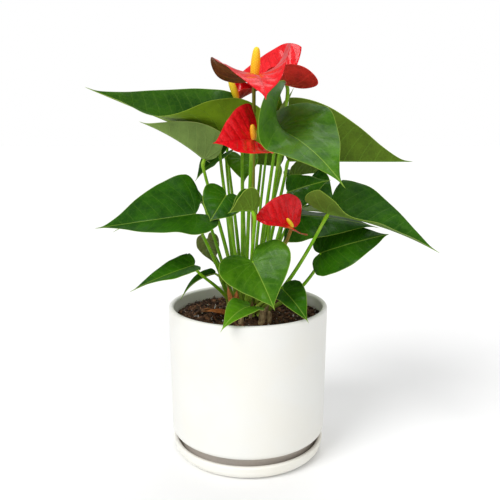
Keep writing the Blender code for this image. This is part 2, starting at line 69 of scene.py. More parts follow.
POT_LOW, POT_HIGH = box_mm("pot")
SAUCER_LOW, SAUCER_HIGH = box_mm("saucer")
RIM_RADIUS = float(POT_HIGH[0])
POT_TOP = float(POT_HIGH[2])
SAUCER_RADIUS = float(SAUCER_HIGH[0])
SAUCER_HEIGHT = float(SAUCER_HIGH[2])
SAUCER_FLOOR = 5.0
FOOT_TAPER = 0.98
WALL = 5.2
FOOT_INSET = 8.0               # pot's foot inside the saucer's edge
FOOT_STEP = 6.4                # rim of the saucer up to the pot's wider part
POT_FLOOR = 12.0               # top of the inner rounding above that step
POT_STEP = SAUCER_HEIGHT + FOOT_STEP
POT_BOTTOM = POT_STEP + POT_FLOOR
RIM_ROUND = 3.0                # depth of the rounded rim
SOIL_LEVEL = POT_TOP - 14.0
STALK_FOOT = 2.5               # radius of a large leaf's stalk on the crown
STALK_TOP = 1.5                # and under its blade
FLOWER_STALK_FOOT = 2.0
FLOWER_STALK_TOP = 1.7
STALK_RUN = 0.20               # part of a stalk that comes in nearly straight
SLOT_SPACING = 6.9             # between the crown's rings of stalks
BLADE_THICKNESS = 0.8
GAP = 0.3                      # between solids that touch
CROWN_HEIGHT = 7.0
CROWN_AT = (1.0, 6.0)
MARGIN_ROUNDING = 24           # power of the blade's fall in thickness towards its margin
BEAD_ROWS = 7.0                # spirals of one hand on a spadix
BEAD_PITCH = 2.3               # millimetres from bead to bead along it
BEAD_RISE = 0.085              # share of the radius
BEAD_SEAM = 0.02
SPADIX_SIDES = 84
SPADIX_ROWS = 120

# ---- outlines: (part of the length from the stalk, part of the half width), tip to notch --
HEART = ((1.0, 0.0), (0.90, 0.045), (0.75, 0.24), (0.55, 0.56), (0.30, 0.87), (0.05, 1.0),
         (-0.18, 0.90), (-0.31, 0.62), (-0.31, 0.33), (-0.18, 0.12), (-0.03, 0.0))
SPATHE = ((1.0, 0.0), (0.90, 0.06), (0.74, 0.30), (0.54, 0.60), (0.30, 0.88), (0.05, 1.0),
          (-0.16, 0.93), (-0.28, 0.70), (-0.28, 0.40), (-0.16, 0.14), (-0.05, 0.0))
ROUND = ((1.0, 0.0), (0.92, 0.09), (0.76, 0.40), (0.55, 0.74), (0.30, 0.95), (0.06, 1.0),
         (-0.12, 0.88), (-0.21, 0.62), (-0.22, 0.33), (-0.14, 0.12), (-0.03, 0.0))
SCALE = ((1.0, 0.0), (0.82, 0.22), (0.60, 0.55), (0.35, 0.88), (0.10, 1.0), (-0.06, 0.85),
         (-0.12, 0.45), (-0.13, 0.0))


def leaf(name, base, tip, face, width, slot, tone="dark", **shape):
    """One entry of the leaf table: stalk end, blade tip, which way the upper face looks."""
    entry = dict(name=name, base=base, tip=tip, face=face, width=width, slot=slot, tone=tone,
                 outline=HEART, fold=(15.0, 15.0), curl=(0.0, 0.0), pinch=(0.0, 0.0),
                 pinch_to=0.25, back=(1.0, 1.0), arch=0.05, wave=0.0, lobe=0.0,
                 over_rim=False, rise=None, reach=0.40, arrive=(0.25, 1.0), knee=6.0)
    entry.update(shape)
    return entry


# Positions are measured from the pot's axis on the soil.  "slot" is (ring, place) on the
# crown, "fold" and "curl" are for the blade's left and right halves, in degrees.
LEAVES = (
    leaf("leaf_top_left", (-28, 4, 180), (-158, -10, 233), (0.3, 0.0, 1.0), 104, (2, 6),
         "olive", fold=(0, 54), pinch=(78, 28), pinch_to=0.6, arch=0.0, back=(1.0, 0.05)),
    leaf("leaf_upper_left", (-43, -12, 164), (-103, -30, 200), (0.3, 0.2, 1.0), 62, (2, 7),
         "grey", fold=(62, 20), arch=0.045, back=(0.4, 0.4)),
    leaf("leaf_back_left", (-28, 32, 166), (-56, 27, 139), (0.0, -0.3, 1.0), 34, (2, 5),
         fold=(15, 40)),
    leaf("leaf_top_front", (28, -40, 193), (82, -110, 144), (-0.1, -0.35, 1.0), 102, (2, 10),
         "fresh", fold=(0, 6), curl=(8, 16), pinch=(16, 102), pinch_to=0.4, arch=0.08, wave=0.04),
    leaf("leaf_left", (-51, -40, 113), (-141, -65, 103), (0.0, -0.7, 0.8), 86, (3, 9),
         fold=(25, 18), arch=0.0, back=(0.6, 0.3)),
    leaf("leaf_left_behind", (-46, -2, 120), (-132, -30, 94), (0.0, -0.2, 1.0), 42, (3, 8),
         fold=(20, 30), arch=0.06, back=(0.1, 0.1)),
    leaf("leaf_far_right", (42, 25, 161), (171, 20, 160), (0.0, 0.1, 1.0), 128, (2, 1),
         fold=(60, 80), arch=0.0, back=(0.15, 0.05)),
    leaf("leaf_back_middle", (34, 50, 154), (-24, 46, 157), (0.0, 0.0, 1.0), 56, (3, 4),
         fold=(60, 74), arch=0.02, back=(0.2, 0.2)),
    leaf("leaf_young_upright", (22, 24, 186), (34, 38, 233), (0.2, -1.0, 0.2), 32, (1, 1),
         "young"),
    leaf("leaf_young_narrow", (35, 13, 198), (46, 15, 234), (-0.7, 0.6, 0.2), 16, (1, 0),
         "grey", fold=(35, 35)),
    leaf("leaf_round_front", (-21, -48, 131), (-35, -62, 109), (0.0, -1.0, 0.3), 42, (2, 8),
         fold=(10, 10), outline=ROUND),
    leaf("leaf_olive_front", (4, -69, 120), (-18, -79, 119), (0.0, 0.3, 1.0), 44, (2, 9),
         fold=(66, 76)),
    leaf("leaf_small_middle", (-6, 31, 162), (-4, 16, 137), (0.0, -1.0, 0.4), 34, (1, 2),
         "young", fold=(10, 10)),
    leaf("leaf_heart_front", (5, -58, 69), (25, -77, 28), (0.0, -0.85, 0.5), 73, (3, 13),
         "fresh", fold=(14, 20), arch=0.08),
    leaf("leaf_over_rim", (1, -60, 13), (-25, -96, -1), (-0.1, -0.5, 0.85), 33, (3, 12),
         "young", fold=(12, 12), arch=0.12, back=(0.6, 0.6), over_rim=True),
    leaf("leaf_low_right", (35, -46, 25), (57, -75, 1), (0.3, -0.8, 0.6), 37, (3, 14),
         fold=(16, 16), back=(0.6, 0.6), over_rim=True),
    leaf("leaf_right", (76, -50, 115), (175, -75, 82), (0.0, -0.45, 0.9), 84, (3, 15),
         "soft", fold=(22, 36), pinch=(0, 34), arch=0.06, back=(0.1, 0.7),
         rise=(0.75, -0.4, 0.7), reach=0.35),
    leaf("leaf_right_inner", (40, -10, 131), (82, -18, 144), (0.0, -0.8, 0.5), 44, (3, 0),
         fold=(-20, -10), back=(0.1, 0.5)),
    leaf("leaf_right_back", (50, 53, 143), (92, 69, 144), (0.0, 0.1, 1.0), 40, (3, 2),
         fold=(20, 50), back=(0.5, 0.5)),
    leaf("leaf_right_lower", (45, -5, 107), (130, -25, 97), (0.0, -0.6, 0.8), 70, (3, 17),
         fold=(-34, -4), back=(0.1, 0.1)),
    leaf("leaf_right_shaded", (66, 36, 135), (93, 28, 117), (0.3, -0.8, 0.4), 44, (3, 1),
         fold=(12, 12), back=(0.3, 0.3)),
    leaf("leaf_right_low", (73, -19, 71), (137, -36, 93), (0.1, -0.85, 0.5), 58, (3, 16),
         fold=(-20, 20), outline=ROUND, back=(0.5, 0.7), rise=(0.9, -0.2, 0.42), reach=0.55,
         arrive=(0.0, 0.0, 1.0), knee=12.0),
    leaf("leaf_lower_left", (-52, -50, 65), (-110, -70, 44), (0.0, -0.35, 1.0), 36, (3, 11),
         fold=(14, 14), arch=0.03, back=(0.2, 0.2)),
    leaf("leaf_drooping_left", (-33, -20, 50), (-68, -26, 24), (0.0, -0.3, 1.0), 15, (3, 10),
         fold=(35, 35), arch=0.15, back=(0.1, 0.1)),
    leaf("leaf_pale_left", (-43, 20, 76), (-36, 18, 51), (0.0, -1.0, 0.2), 26, (3, 7),
         "pale", fold=(20, 20), wave=0.15),
    leaf("leaf_back_high", (-22, 74, 178), (-68, 112, 205), (0.2, 0.1, 1.0), 60, (2, 4),
         fold=(20, 20)),
    leaf("leaf_back_centre", (16, 84, 176), (36, 144, 194), (0.0, 0.0, 1.0), 60, (2, 3),
         fold=(20, 20)),
    leaf("leaf_back_low", (50, 68, 102), (104, 104, 92), (0.0, 0.0, 1.0), 60, (3, 3),
         fold=(20, 20), back=(0.1, 0.1)),
)


def flower(name, base, tip, face, width, slot, spadix, spadix_radius, **shape):
    """One entry of the flower table: a spathe with its spadix, on its own stalk."""
    kept = dict(outline=SPATHE, tone="green", spadix=spadix, spadix_radius=spadix_radius)
    kept.update(shape)
    return leaf(name, base, tip, face, width, slot, **kept)


FLOWERS = (
    flower("front", (6, -56, 238), (15, -110, 216), (0.0, -0.2, 1.0), 88, (1, 5),
           (8, -62, 264), 4.2, fold=(4, 6), curl=(84, 34), arch=0.16, lobe=0.7,
           back=(1.0, 1.45), tone="brown"),
    flower("back", (38, 1, 236), (-14, 31, 246), (0.0, -0.3, 1.0), 88, (2, 0),
           (33, 4, 254), 3.6, fold=(-4, 36), curl=(20, 22), pinch=(56, 0), lobe=0.3,
           back=(2.8, 0.1), outline=ROUND),
    flower("left", (-10, 7, 222), (19, 15, 234), (0.0, -0.3, 1.0), 42, (1, 3),
           (-18, 2, 241), 3.6, fold=(14, 14), curl=(62, 52), back=(0.1, 0.1),
           arrive=(-0.20, -0.28, 0.93), knee=20.0),
    flower("middle", (5, -70, 184), (-30, -95, 181), (0.2, -0.8, 0.5), 64, (1, 4),
           (4, -74, 197), 2.9, fold=(10, 8), curl=(50, 40), back=(0.3, 0.6)),
    flower("young", (42, -44, 101), (4, -64, 112), (0.0, -0.6, 0.8), 62, (2, 11),
           (37, -47, 110), 2.0, fold=(16, 20), curl=(30, 60), back=(0.1, 1.2), outline=ROUND,
           tone="rust"),
)

# Dry scales that have no solid of their own.
DRY_SCALES = (
    leaf("tall_scale", (-16, -27, 14), (-20, -30, 41), (0.5, 0.8, 0.1), 12, None, "rust",
         fold=(10, 10), curl=(60, 80), arch=-0.06, outline=SCALE),
    leaf("low_scale", (-20, -24, 6), (-45, -31, 14), (0.1, -0.2, 1.0), 12, None, "rust",
         fold=(8, 8), curl=(50, 70), arch=0.08, outline=SCALE),
    leaf("short_scale", (-13, -28, 20), (-11, -31, 36), (0.2, 0.9, 0.1), 9, None, "rust",
         fold=(10, 10), curl=(70, 60), outline=SCALE),
)
# Cut stems at the front of the crown: x, y, height and radius.
CUT_STEMS = ((13.0, -33.0, 19.0, 2.9), (20.0, -29.0, 14.0, 2.3), (-8.0, -31.0, 12.0, 2.2))

# Dry scales that stand for a solid each.
SHEATHS = (
    leaf("dry_sheath_upright", (-17, -25, 4), (-14, -28, 27), (0.5, 0.8, 0.1), 13, None,
         "rust", fold=(25, 25), outline=SCALE),
    leaf("dry_sheath_left", (-31, -4, 3), (-46, -12, 11), (0.2, 0.2, 1.0), 12, None,
         "rust", fold=(20, 20), outline=SCALE),
    leaf("dry_sheath_right", (16, -23, 3), (21, -28, 20), (-0.4, 0.9, 0.1), 12, None,
         "husk", fold=(30, 30), outline=SCALE),
)

# Loose grains on the soil: the setting that gives their number, the piece, smallest and
# largest half sizes, faces (0 for 20, 1 for 80), roughness, lean, height over the soil, how
# far past the usual reach and how far from the crown; then the finish as name, shades,
# roughness and size of its marks, and whether it is shaded smooth.
GRAINS = (
    ("bark", "bark_chips", ((1.2, 0.9, 0.5), (4.6, 2.8, 1.5)), 1, 0.22, 0.45, (-0.2, 1.6),
     0.0, 15.0, ("bark", [(0.0, (0.030, 0.015, 0.008)), (0.45, (0.110, 0.050, 0.022)),
                          (0.8, (0.230, 0.100, 0.040)), (1.0, (0.38, 0.20, 0.095))],
                 0.85, 1.4), False),
    ("crumbs", "peat_crumbs", ((0.35, 0.3, 0.25), (1.4, 1.1, 0.9)), 0, 0.35, 1.5, (-0.1, 1.7),
     2.5, 12.0, ("crumbs", [(0.0, (0.020, 0.010, 0.006)), (0.6, (0.090, 0.042, 0.019)),
                            (1.0, (0.26, 0.125, 0.055))], 0.9, 0.8), False),
    ("perlite", "white_grains", ((0.5, 0.4, 0.4), (1.35, 1.1, 1.0)), 1, 0.16, 1.5, (0.6, 2.2),
     0.0, 18.0, ("perlite", [(0.0, (0.50, 0.48, 0.44)), (1.0, (0.84, 0.83, 0.79))],
                 0.8, 0.6), True),
)

# Upper face dark, upper face light, veins, margin (a paler edge with a painted highlight along
# it), underside
LEAF_TONES = {
    "dark": ((0.006, 0.046, 0.001), (0.026, 0.120, 0.001), (0.14, 0.30, 0.02),
             (0.42, 0.58, 0.08), (0.085, 0.150, 0.008)),
    "soft": ((0.006, 0.046, 0.001), (0.028, 0.115, 0.001), (0.16, 0.32, 0.03),
             (0.44, 0.60, 0.08), (0.135, 0.235, 0.028)),
    "olive": ((0.008, 0.050, 0.001), (0.032, 0.115, 0.001), (0.18, 0.34, 0.02),
              (0.46, 0.62, 0.08), (0.220, 0.370, 0.012)),
    "fresh": ((0.018, 0.085, 0.001), (0.066, 0.195, 0.003), (0.22, 0.40, 0.05),
              (0.50, 0.66, 0.10), (0.160, 0.270, 0.020)),
    "young": ((0.040, 0.160, 0.001), (0.090, 0.260, 0.005), (0.26, 0.44, 0.05),
              (0.46, 0.62, 0.10), (0.180, 0.310, 0.025)),
    "grey": ((0.050, 0.100, 0.020), (0.110, 0.180, 0.045), (0.24, 0.34, 0.09),
             (0.46, 0.56, 0.16), (0.200, 0.310, 0.075)),
    "pale": ((0.110, 0.150, 0.030), (0.220, 0.250, 0.080), (0.30, 0.32, 0.12),
             (0.34, 0.32, 0.12), (0.200, 0.210, 0.080)),
}
# Foot of a stalk, its middle, under the blade
STALK_TONES = {
    "green": ((0.50, 0.62, 0.10), (0.165, 0.400, 0.004), (0.230, 0.480, 0.006)),
    "brown": ((0.26, 0.34, 0.07), (0.200, 0.210, 0.012), (0.230, 0.130, 0.016)),
    "rust": ((0.28, 0.40, 0.07), (0.260, 0.220, 0.025), (0.360, 0.120, 0.020)),
}


# ---- settings a user would change ----------------------------------------------------------
def colour(label, description, value):
    """A linear colour setting."""
    return FloatVectorProperty(name=label, description=description, default=value,
                               subtype="COLOR", size=3, min=0.0, max=1.0)


def amount(label, description, value, least=None, most=None, kind=FloatProperty, **more):
    """A number setting with its limits."""
    if least is not None:
        more["min"] = least
    if most is not None:
        more["max"] = most
    return kind(name=label, description=description, default=value, **more)


def whole_number(label, description, value, least=None, most=None):
    """A whole-number setting."""
    return amount(label, description, value, least, most, IntProperty)


class PotSettings(bpy.types.PropertyGroup):
    """Sizes and glaze of the pot and saucer."""
    glaze: colour("Glaze", "Colour of the pot's matt glaze", (0.785, 0.785, 0.75))
    saucer_glaze: colour("Saucer glaze", "Colour of the saucer's glaze", (0.83, 0.82, 0.76))
    segments: whole_number("Segments", "Sides of the turned pieces", 224, 32, 512)
    peel: amount("Unevenness", "Height of the glaze's fine waves", 0.00006, 0.0, 0.001,
                 unit="LENGTH")


class SoilSettings(bpy.types.PropertyGroup):
    """The loose pieces on the soil."""
    bark: whole_number("Bark chips", "Number of bark chips", 1500, 0, 2200)
    crumbs: whole_number("Crumbs", "Number of small peat crumbs", 5200, 0, 9000)
    perlite: whole_number("White grains", "Number of white grains", 190, 0, 1000)
    fibres: whole_number("Fibres", "Number of fine dry root fibres", 110, 0, 600)
    seed: whole_number("Seed", "Changes how the pieces lie", 7)


class LeafSettings(bpy.types.PropertyGroup):
    """Surface of the leaves."""
    rays: whole_number("Rays", "Points along half of a blade's margin", 92, 16, 200)
    rings: whole_number("Rings", "Rings of points from stalk to margin", 34, 8, 80)
    relief: amount("Quilting", "Rise of the leaf between its veins", 0.00026, 0.0, 0.002,
                   unit="LENGTH")
    flutter: amount("Margin wave", "Wave of the margin", 0.0016, 0.0, 0.004, unit="LENGTH")
    gloss: amount("Gloss", "Waxy layer on the upper face", 0.22, 0.0, 1.0, subtype="FACTOR")


class FlowerSettings(bpy.types.PropertyGroup):
    """Colours and surface of the flowers."""
    red: colour("Spathe", "Upper face of a spathe", (0.70, 0.004, 0.009))
    # Deeper red painted as shade in a spathe's sunken veins, seams and margin.
    seam_shade_red: colour("Spathe folds", "Deeper red along its veins", (0.42, 0.002, 0.004))
    back_red: colour("Spathe back", "Underside of a spathe", (0.52, 0.024, 0.018))
    yellow: colour("Spadix", "Colour of the spadix", (0.98, 0.80, 0.030))
    relief: amount("Quilting", "Rise of a spathe between its veins", 0.0008, 0.0, 0.003,
                   unit="LENGTH")


class StageSettings(bpy.types.PropertyGroup):
    """Floor, lights and camera."""
    floor: colour("Floor", "Colour of the floor", (0.93, 0.93, 0.93))
    air: amount("Air", "Even light from all round", 0.46, 0.0)
    key: amount("Key light", "Light from the front left", 1.9, 0.0)
    front: amount("Front light", "Light from the front right", 0.65, 0.0)
    top: amount("Top light", "Light from above and behind", 0.8, 0.0)
    distance: amount("Distance", "Camera to the pot's axis", 0.637, 0.1, unit="LENGTH")
    height: amount("Height", "Height of the camera", 0.337, 0.0, unit="LENGTH")
    aside: amount("Aside", "Camera to the right of the axis", 0.002, unit="LENGTH")
    tilt: amount("Tilt", "How far the camera looks down", math.radians(10.84),
                 subtype="ANGLE")
    lens: amount("Lens", "Focal length in millimetres", 45.216, 10.0)


# ---- blade surfaces ------------------------------------------------------------------------
def unit(vector):
    """Vectors scaled to length 1."""
    vector = np.asarray(vector, float)
    return vector / np.linalg.norm(vector, axis=-1, keepdims=True)


def placed(entry, key):
    """A table position as a point above the saucer's underside.  A leaf over the rim is
    measured from the rim, every other one from the soil."""
    x, y, z = entry[key]
    return np.array([x, y, (POT_TOP if entry["over_rim"] else SOIL_LEVEL) + z])


def blade_axes(entry):
    """Midrib direction, left side, upper face and length of a blade."""
    base = placed(entry, "base")
    span = placed(entry, "tip") - base
    length = float(np.linalg.norm(span))
    along = span / length
    up = np.asarray(entry["face"], float)
    up = unit(up - along * float(up @ along))
    return base, along, np.cross(up, along), up, length


def blade_point(entry, u, v):
    """Points of a blade.  u runs along the midrib, 0 at the stalk and 1 at the tip; v runs
    across, -1 to 1, and s is its size.  A half leaves the midrib at its fold angle a, with
    its pinch added near the stalk, and turns by its curl c on the way out:
    across = w (sin(a + c s) - sin a) / c, up = w (cos a - cos(a + c s)) / c.
    The midrib rises by 4 arch u (1 - u) of the length and, behind the stalk, by lobe u^2.
    There u is first made longer or shorter by the half's back.  The margin waves by
    wave w s^2 sin(4 pi u)."""
    base, along, left, up, length = blade_axes(entry)
    half = entry["width"] * 0.5
    s = np.abs(v)
    on_left = v > 0.0
    near_stalk = np.clip((entry["pinch_to"] - u) / (entry["pinch_to"] + 0.25), 0.0, 1.0)
    near_stalk = near_stalk * near_stalk * (3.0 - 2.0 * near_stalk)
    folded = np.where(on_left, entry["fold"][0], entry["fold"][1])
    folded = folded + near_stalk * np.where(on_left, entry["pinch"][0], entry["pinch"][1])
    a = np.radians(folded)
    u = np.where(u < 0.0, u * np.where(on_left, entry["back"][0], entry["back"][1]), u)
    c = np.radians(np.where(on_left, entry["curl"][0], entry["curl"][1])) + 1e-4
    across = half * (np.sin(a + c * s) - np.sin(a)) / c * np.sign(v)
    lift = half * (np.cos(a) - np.cos(a + c * s)) / c
    rise = lift + entry["wave"] * half * s * s * np.sin(4.0 * np.pi * u)
    rise = rise + 4.0 * entry["arch"] * length * u * (1.0 - u)
    rise = rise + entry["lobe"] * length * np.minimum(u, 0.0) ** 2
    return (base + np.multiply.outer(u * length, along)
            + np.multiply.outer(across, left) + np.multiply.outer(rise, up))


def blade_normal(entry, u, v):
    """Upper-face normals, from central differences of blade_point."""
    step = 0.01
    du = blade_point(entry, u + step, v) - blade_point(entry, u - step, v)
    dv = blade_point(entry, u, v + step) - blade_point(entry, u, v - step)
    return unit(np.cross(du, dv))


def spline(points, t):
    """Catmull-Rom curve through points, t from 0 to 1."""
    p = np.asarray(points, float)
    ends = np.vstack([2.0 * p[0] - p[1], p, 2.0 * p[-1] - p[-2]])
    x = np.clip(t, 0.0, 1.0) * (len(p) - 1)
    i = np.minimum(x.astype(int), len(p) - 2)
    f = (x - i)[:, None]
    a, b, c, d = ends[i], ends[i + 1], ends[i + 2], ends[i + 3]
    return 0.5 * (2.0 * b + (c - a) * f + (2.0 * a - 5.0 * b + 4.0 * c - d) * f * f
                  + (3.0 * b - a - 3.0 * c + d) * f ** 3)


def smooth_between(low, high, value):
    """0 below low, 1 above high, and 3 t^2 - 2 t^3 between them."""
    t = np.clip((value - low) / (high - low), 0.0, 1.0)
    return t * t * (3.0 - 2.0 * t)


def vein_family(x, y, spacing, sweep=0.42, bend=0.009):
    """Side veins as the whole numbers of a smooth count.  A vein leaves the midrib and goes
    y out and sweep y + bend y^2 forward, so ahead of the stalk the count is
    (x - sweep y - bend y^2) / spacing; behind it the veins fan out and the count falls by
    one for each 26 degrees.  The second result is the millimetres in one count."""
    straight = x - bend * y * y
    origin = straight - sweep * y
    fan = math.radians(26.0)
    angle = np.arctan2(y, straight)
    first = math.atan2(1.0, sweep)
    slope = sweep + 2.0 * bend * y
    ahead = origin > 0.0
    count = np.where(ahead, origin / spacing, (first - angle) / fan)
    step = np.where(ahead, spacing / np.sqrt(1.0 + slope * slope),
                    np.hypot(straight, y) * fan)
    return count, step


def ring_fractions(rings):
    """Even rings, then three close to the margin so that it is rounded."""
    even = np.linspace(0.0, 0.975, rings - 2)[1:]
    return np.concatenate([even, [0.988, 0.996, 1.0]])


def bands(count, rows, first=0):
    """Places along a row, the next place of each, and the four-cornered faces between rows
    of count points, the earliest row starting at first."""
    k = np.arange(count)
    n = np.roll(k, -1)
    row = first + count * np.arange(rows - 1)[:, None]
    quads = np.stack([row + k, row + count + k, row + count + n, row + n], axis=-1)
    return k, n, quads.reshape(-1, 4)


def one_finish(shell):
    """The same shell with its first material all over."""
    shell["faces"] = [(rows, 0) for rows, slot in shell["faces"]]
    return shell


def blade_shell(entry, rays, rings, relief, flutter, thickness, spacing, seed):
    """A leaf or spathe as one closed shell.  The grid is (part of the way out, place on the
    margin); each point goes to blade_point and then along the normal by
    relief (1 - cos 2 pi count) / 2 between side veins, a wave of the margin, and half the
    thickness, which falls to nothing at the margin as sqrt(1 - r^24).  The underside
    also has a round rib under the midrib."""
    rng = np.random.default_rng(seed)
    half = spline(entry["outline"], np.linspace(0.0, 1.0, rays + 1))
    half[0, 1] = 0.0
    half[-1, 1] = 0.0
    rim = np.vstack([half, half[-2:0:-1] * (1.0, -1.0)])
    count = len(rim)
    out = ring_fractions(rings)
    levels = len(out)
    uv = np.vstack([[[0.0, 0.0]], (out[:, None, None] * rim[None]).reshape(-1, 2)])
    r = np.concatenate([[0.0], np.repeat(out, count)])
    u = uv[:, 0]
    v = uv[:, 1]
    length = blade_axes(entry)[4]
    wide = entry["width"] * 0.5
    back = np.where(v > 0.0, entry["back"][0], entry["back"][1])
    x = np.where(u < 0.0, u * back, u) * length
    y = np.abs(v) * wide
    number, step = vein_family(x, y, spacing)
    number = number + np.where(v > 0.0, 0.0, 0.37)
    inside = smooth_between(0.0, 0.10, 1.0 - r) * smooth_between(0.8, 4.5, y)
    inside = inside * smooth_between(0.03, 0.16, r)
    strength = np.clip(step / spacing, 0.0, 1.0)
    quilt = relief * strength * (0.5 - 0.5 * np.cos(2.0 * np.pi * number)) * inside
    angle = np.arctan2(v * wide, u * length)
    phases = rng.uniform(0.0, 2.0 * np.pi, 4)
    cycles = np.array([3.0, 5.0, 8.0, 13.0])
    weights = np.array([0.5, 0.55, 0.35, 0.18])
    wave = (weights * np.sin(np.multiply.outer(angle, cycles) + phases)).sum(axis=1)
    big = min(1.0, entry["width"] / 70.0)
    lift = quilt + flutter * big * wave * r ** 3 * smooth_between(0.0, 0.25, np.abs(v))
    taper = np.sqrt(1.0 - np.minimum(r, 1.0) ** MARGIN_ROUNDING)
    body = 0.5 * thickness * taper
    toward_tip = np.clip(x / length, 0.0, 1.0)
    rib = (0.95 - 0.75 * toward_tip) * big ** 0.5 * (x > -1.0) * (1.0 - r ** 6)
    groove = 0.22 * np.exp(-((y / 0.9) ** 2)) * (1.0 - r ** 6)
    ridge = rib * np.exp(-((y / (1.5 - 0.7 * toward_tip)) ** 2))
    centre = blade_point(entry, u, v)
    normal = blade_normal(entry, u, v)
    upper = centre + normal * (lift + body - groove)[:, None]
    lower = centre + normal * (lift - body - ridge)[:, None]
    inner = 1 + (levels - 1) * count
    points = np.vstack([upper, lower[:inner]])
    k, n, quads = bands(count, levels, 1)
    fan = np.stack([np.zeros_like(k), 1 + k, 1 + n], axis=-1)
    shift = len(upper)
    to_lower = np.concatenate([np.arange(inner) + shift, np.arange(inner, shift)])
    reach = np.hypot(rim[:, 0] * length, rim[:, 1] * wide)
    edge = (1.0 - r) * np.concatenate([[reach.mean()], np.tile(reach, levels)])
    flow = np.stack([number, step, y], axis=-1)
    flat = np.stack([x, v * wide], axis=-1)
    keep = np.concatenate([np.arange(shift), np.arange(inner)])
    return dict(points=points, flow=flow[keep], edge=edge[keep], flat=flat[keep],
                faces=[(quads, 0), (fan, 0), (to_lower[quads][:, ::-1], 1),
                       (to_lower[fan][:, ::-1], 1)])


# ---- stalks and rods -----------------------------------------------------------------------
def slot_point(slot):
    """Foot of a stalk: places spread evenly on rings around the crown's middle."""
    ring, place = slot
    radius = ring * SLOT_SPACING
    angle = 2.0 * math.pi * place / max(6 * ring, 1)
    x = CROWN_AT[0] + radius * math.cos(angle)
    y = CROWN_AT[1] + radius * math.sin(angle)
    return np.array([x, y, SOIL_LEVEL + GAP + CROWN_HEIGHT + GAP])


def arriving_way(entry):
    """Which way a stalk is going where it meets its blade."""
    along, left, up = blade_axes(entry)[1:4]
    if len(entry["arrive"]) == 3:
        return unit(entry["arrive"])
    return unit(entry["arrive"][0] * along + entry["arrive"][1] * up)


def stalk_path(entry, end, arriving, count):
    """A cubic from the crown that leaves along rise and comes in nearly straight, then a
    knee that turns into the blade, all drawn through with one smooth curve."""
    start = slot_point(entry["slot"])
    low = end - arriving * min(entry["knee"], 0.12 * float(np.linalg.norm(end - start)))
    span = float(np.linalg.norm(low - start))
    rise = entry["rise"]
    if rise is None:
        rise = (low - start) * (0.45, 0.45, 1.0)
    first = start + unit(rise) * entry["reach"] * span
    last = low - unit((low - start) * (1.0, 1.0, 1.3)) * STALK_RUN * span
    t = np.linspace(0.0, 1.0, 12)[:, None]
    path = ((1 - t) ** 3 * start + 3 * (1 - t) ** 2 * t * first
            + 3 * (1 - t) * t * t * last + t ** 3 * low)
    below = start - (0.0, 0.0, 4.0)
    return spline(np.vstack([below, path, end]), np.linspace(0.0, 1.0, count))


def path_lengths(path):
    """Distance along a path at each of its points."""
    steps = np.linalg.norm(np.diff(path, axis=0), axis=1)
    return np.concatenate([[0.0], np.cumsum(steps)])


def tube(path, radii, sides, slot=2, bump=None):
    """A profile carried along a path: point = path + radius (cos q side + sin q out), where
    side and out are square to the path.  bump(q, s) gives a share added to the radius.
    Both ends are closed with a fan."""
    ahead = unit(np.gradient(path, axis=0))
    guide = np.eye(3)[int(np.argmin(np.abs(ahead).max(axis=0)))]
    side = unit(np.cross(ahead, guide))
    out = np.cross(side, ahead)
    q = np.linspace(0.0, 2.0 * np.pi, sides, endpoint=False)
    s = path_lengths(path)
    grown = np.ones((len(path), sides)) if bump is None else 1.0 + bump(q[None, :], s[:, None])
    size = radii[:, None] * grown
    points = (path[:, None, :] + size[..., None] * (np.cos(q)[None, :, None] * side[:, None, :]
                                                    + np.sin(q)[None, :, None] * out[:, None, :]))
    rows = len(path)
    k, n, quads = bands(sides, rows)
    foot = rows * sides
    top = foot + 1
    last = (rows - 1) * sides
    start_fan = np.stack([np.full(sides, foot), k, n], axis=-1)
    end_fan = np.stack([np.full(sides, top), last + n, last + k], axis=-1)
    points = np.vstack([points.reshape(-1, 3), path[0], path[-1]])
    along = np.concatenate([np.repeat(s, sides), [s[0], s[-1]]])
    flow = np.stack([along, np.full(len(along), s[-1]), np.zeros(len(along))], axis=-1)
    around = np.concatenate([np.tile(q, rows), [0.0, 0.0]])
    flat = np.stack([along, around * float(np.mean(radii))], axis=-1)
    return dict(points=points, flow=flow, edge=np.full(len(along), 9.0), flat=flat,
                faces=[(quads, slot), (start_fan, slot), (end_fan, slot)])


def joined(parts):
    """Several shells as the parts of one mesh."""
    start = 0
    faces = []
    for part in parts:
        faces += [(rows + start, slot) for rows, slot in part["faces"]]
        start += len(part["points"])
    keys = [key for key in parts[0] if key != "faces"]
    whole = {key: np.concatenate([part[key] for part in parts]) for key in keys}
    whole["faces"] = faces
    return whole


def stalk_radii(path, foot, top, swelling):
    """Radius along a stalk: tapering, flared at its foot, thicker at the joint below the
    blade by swelling exp(-((distance - 5) / 4.5)^2)."""
    s = path_lengths(path)
    left = s[-1] - s
    radius = foot + (top - foot) * (s / s[-1]) ** 0.7
    radius = radius * (1.0 + 0.35 * np.exp(-s / 7.0))
    return radius * (1.0 + swelling * np.exp(-(((left - 5.0) / 4.5) ** 2)))


def channel(q, s):
    """A shallow channel along the inner side of a stalk, and faint ribs round it."""
    from_side = np.minimum(np.abs(q - 1.57), 2.0 * np.pi - np.abs(q - 1.57))
    return -0.10 * np.exp(-((from_side / 0.5) ** 2)) + 0.012 * np.cos(9.0 * q)


def leaf_stalk(entry):
    """A leaf's stalk, which ends inside the rib under its blade."""
    arriving = arriving_way(entry)
    big = min(1.0, 0.45 + entry["width"] / 90.0)
    end = placed(entry, "base") - arriving * 0.1
    path = stalk_path(entry, end, arriving, 64)
    foot = STALK_FOOT * (0.6 + 0.4 * big)
    radii = stalk_radii(path, foot, STALK_TOP * big, 0.28)
    return tube(path, radii, 18, bump=channel)


def flower_stalk(entry):
    """A flower's stalk, smooth and round, which ends just inside its spathe."""
    arriving = arriving_way(entry)
    end = placed(entry, "base") - arriving * 0.3
    path = stalk_path(entry, end, arriving, 80)
    radii = stalk_radii(path, FLOWER_STALK_FOOT, FLOWER_STALK_TOP, 0.10)
    return tube(path, radii, 20, slot=0)


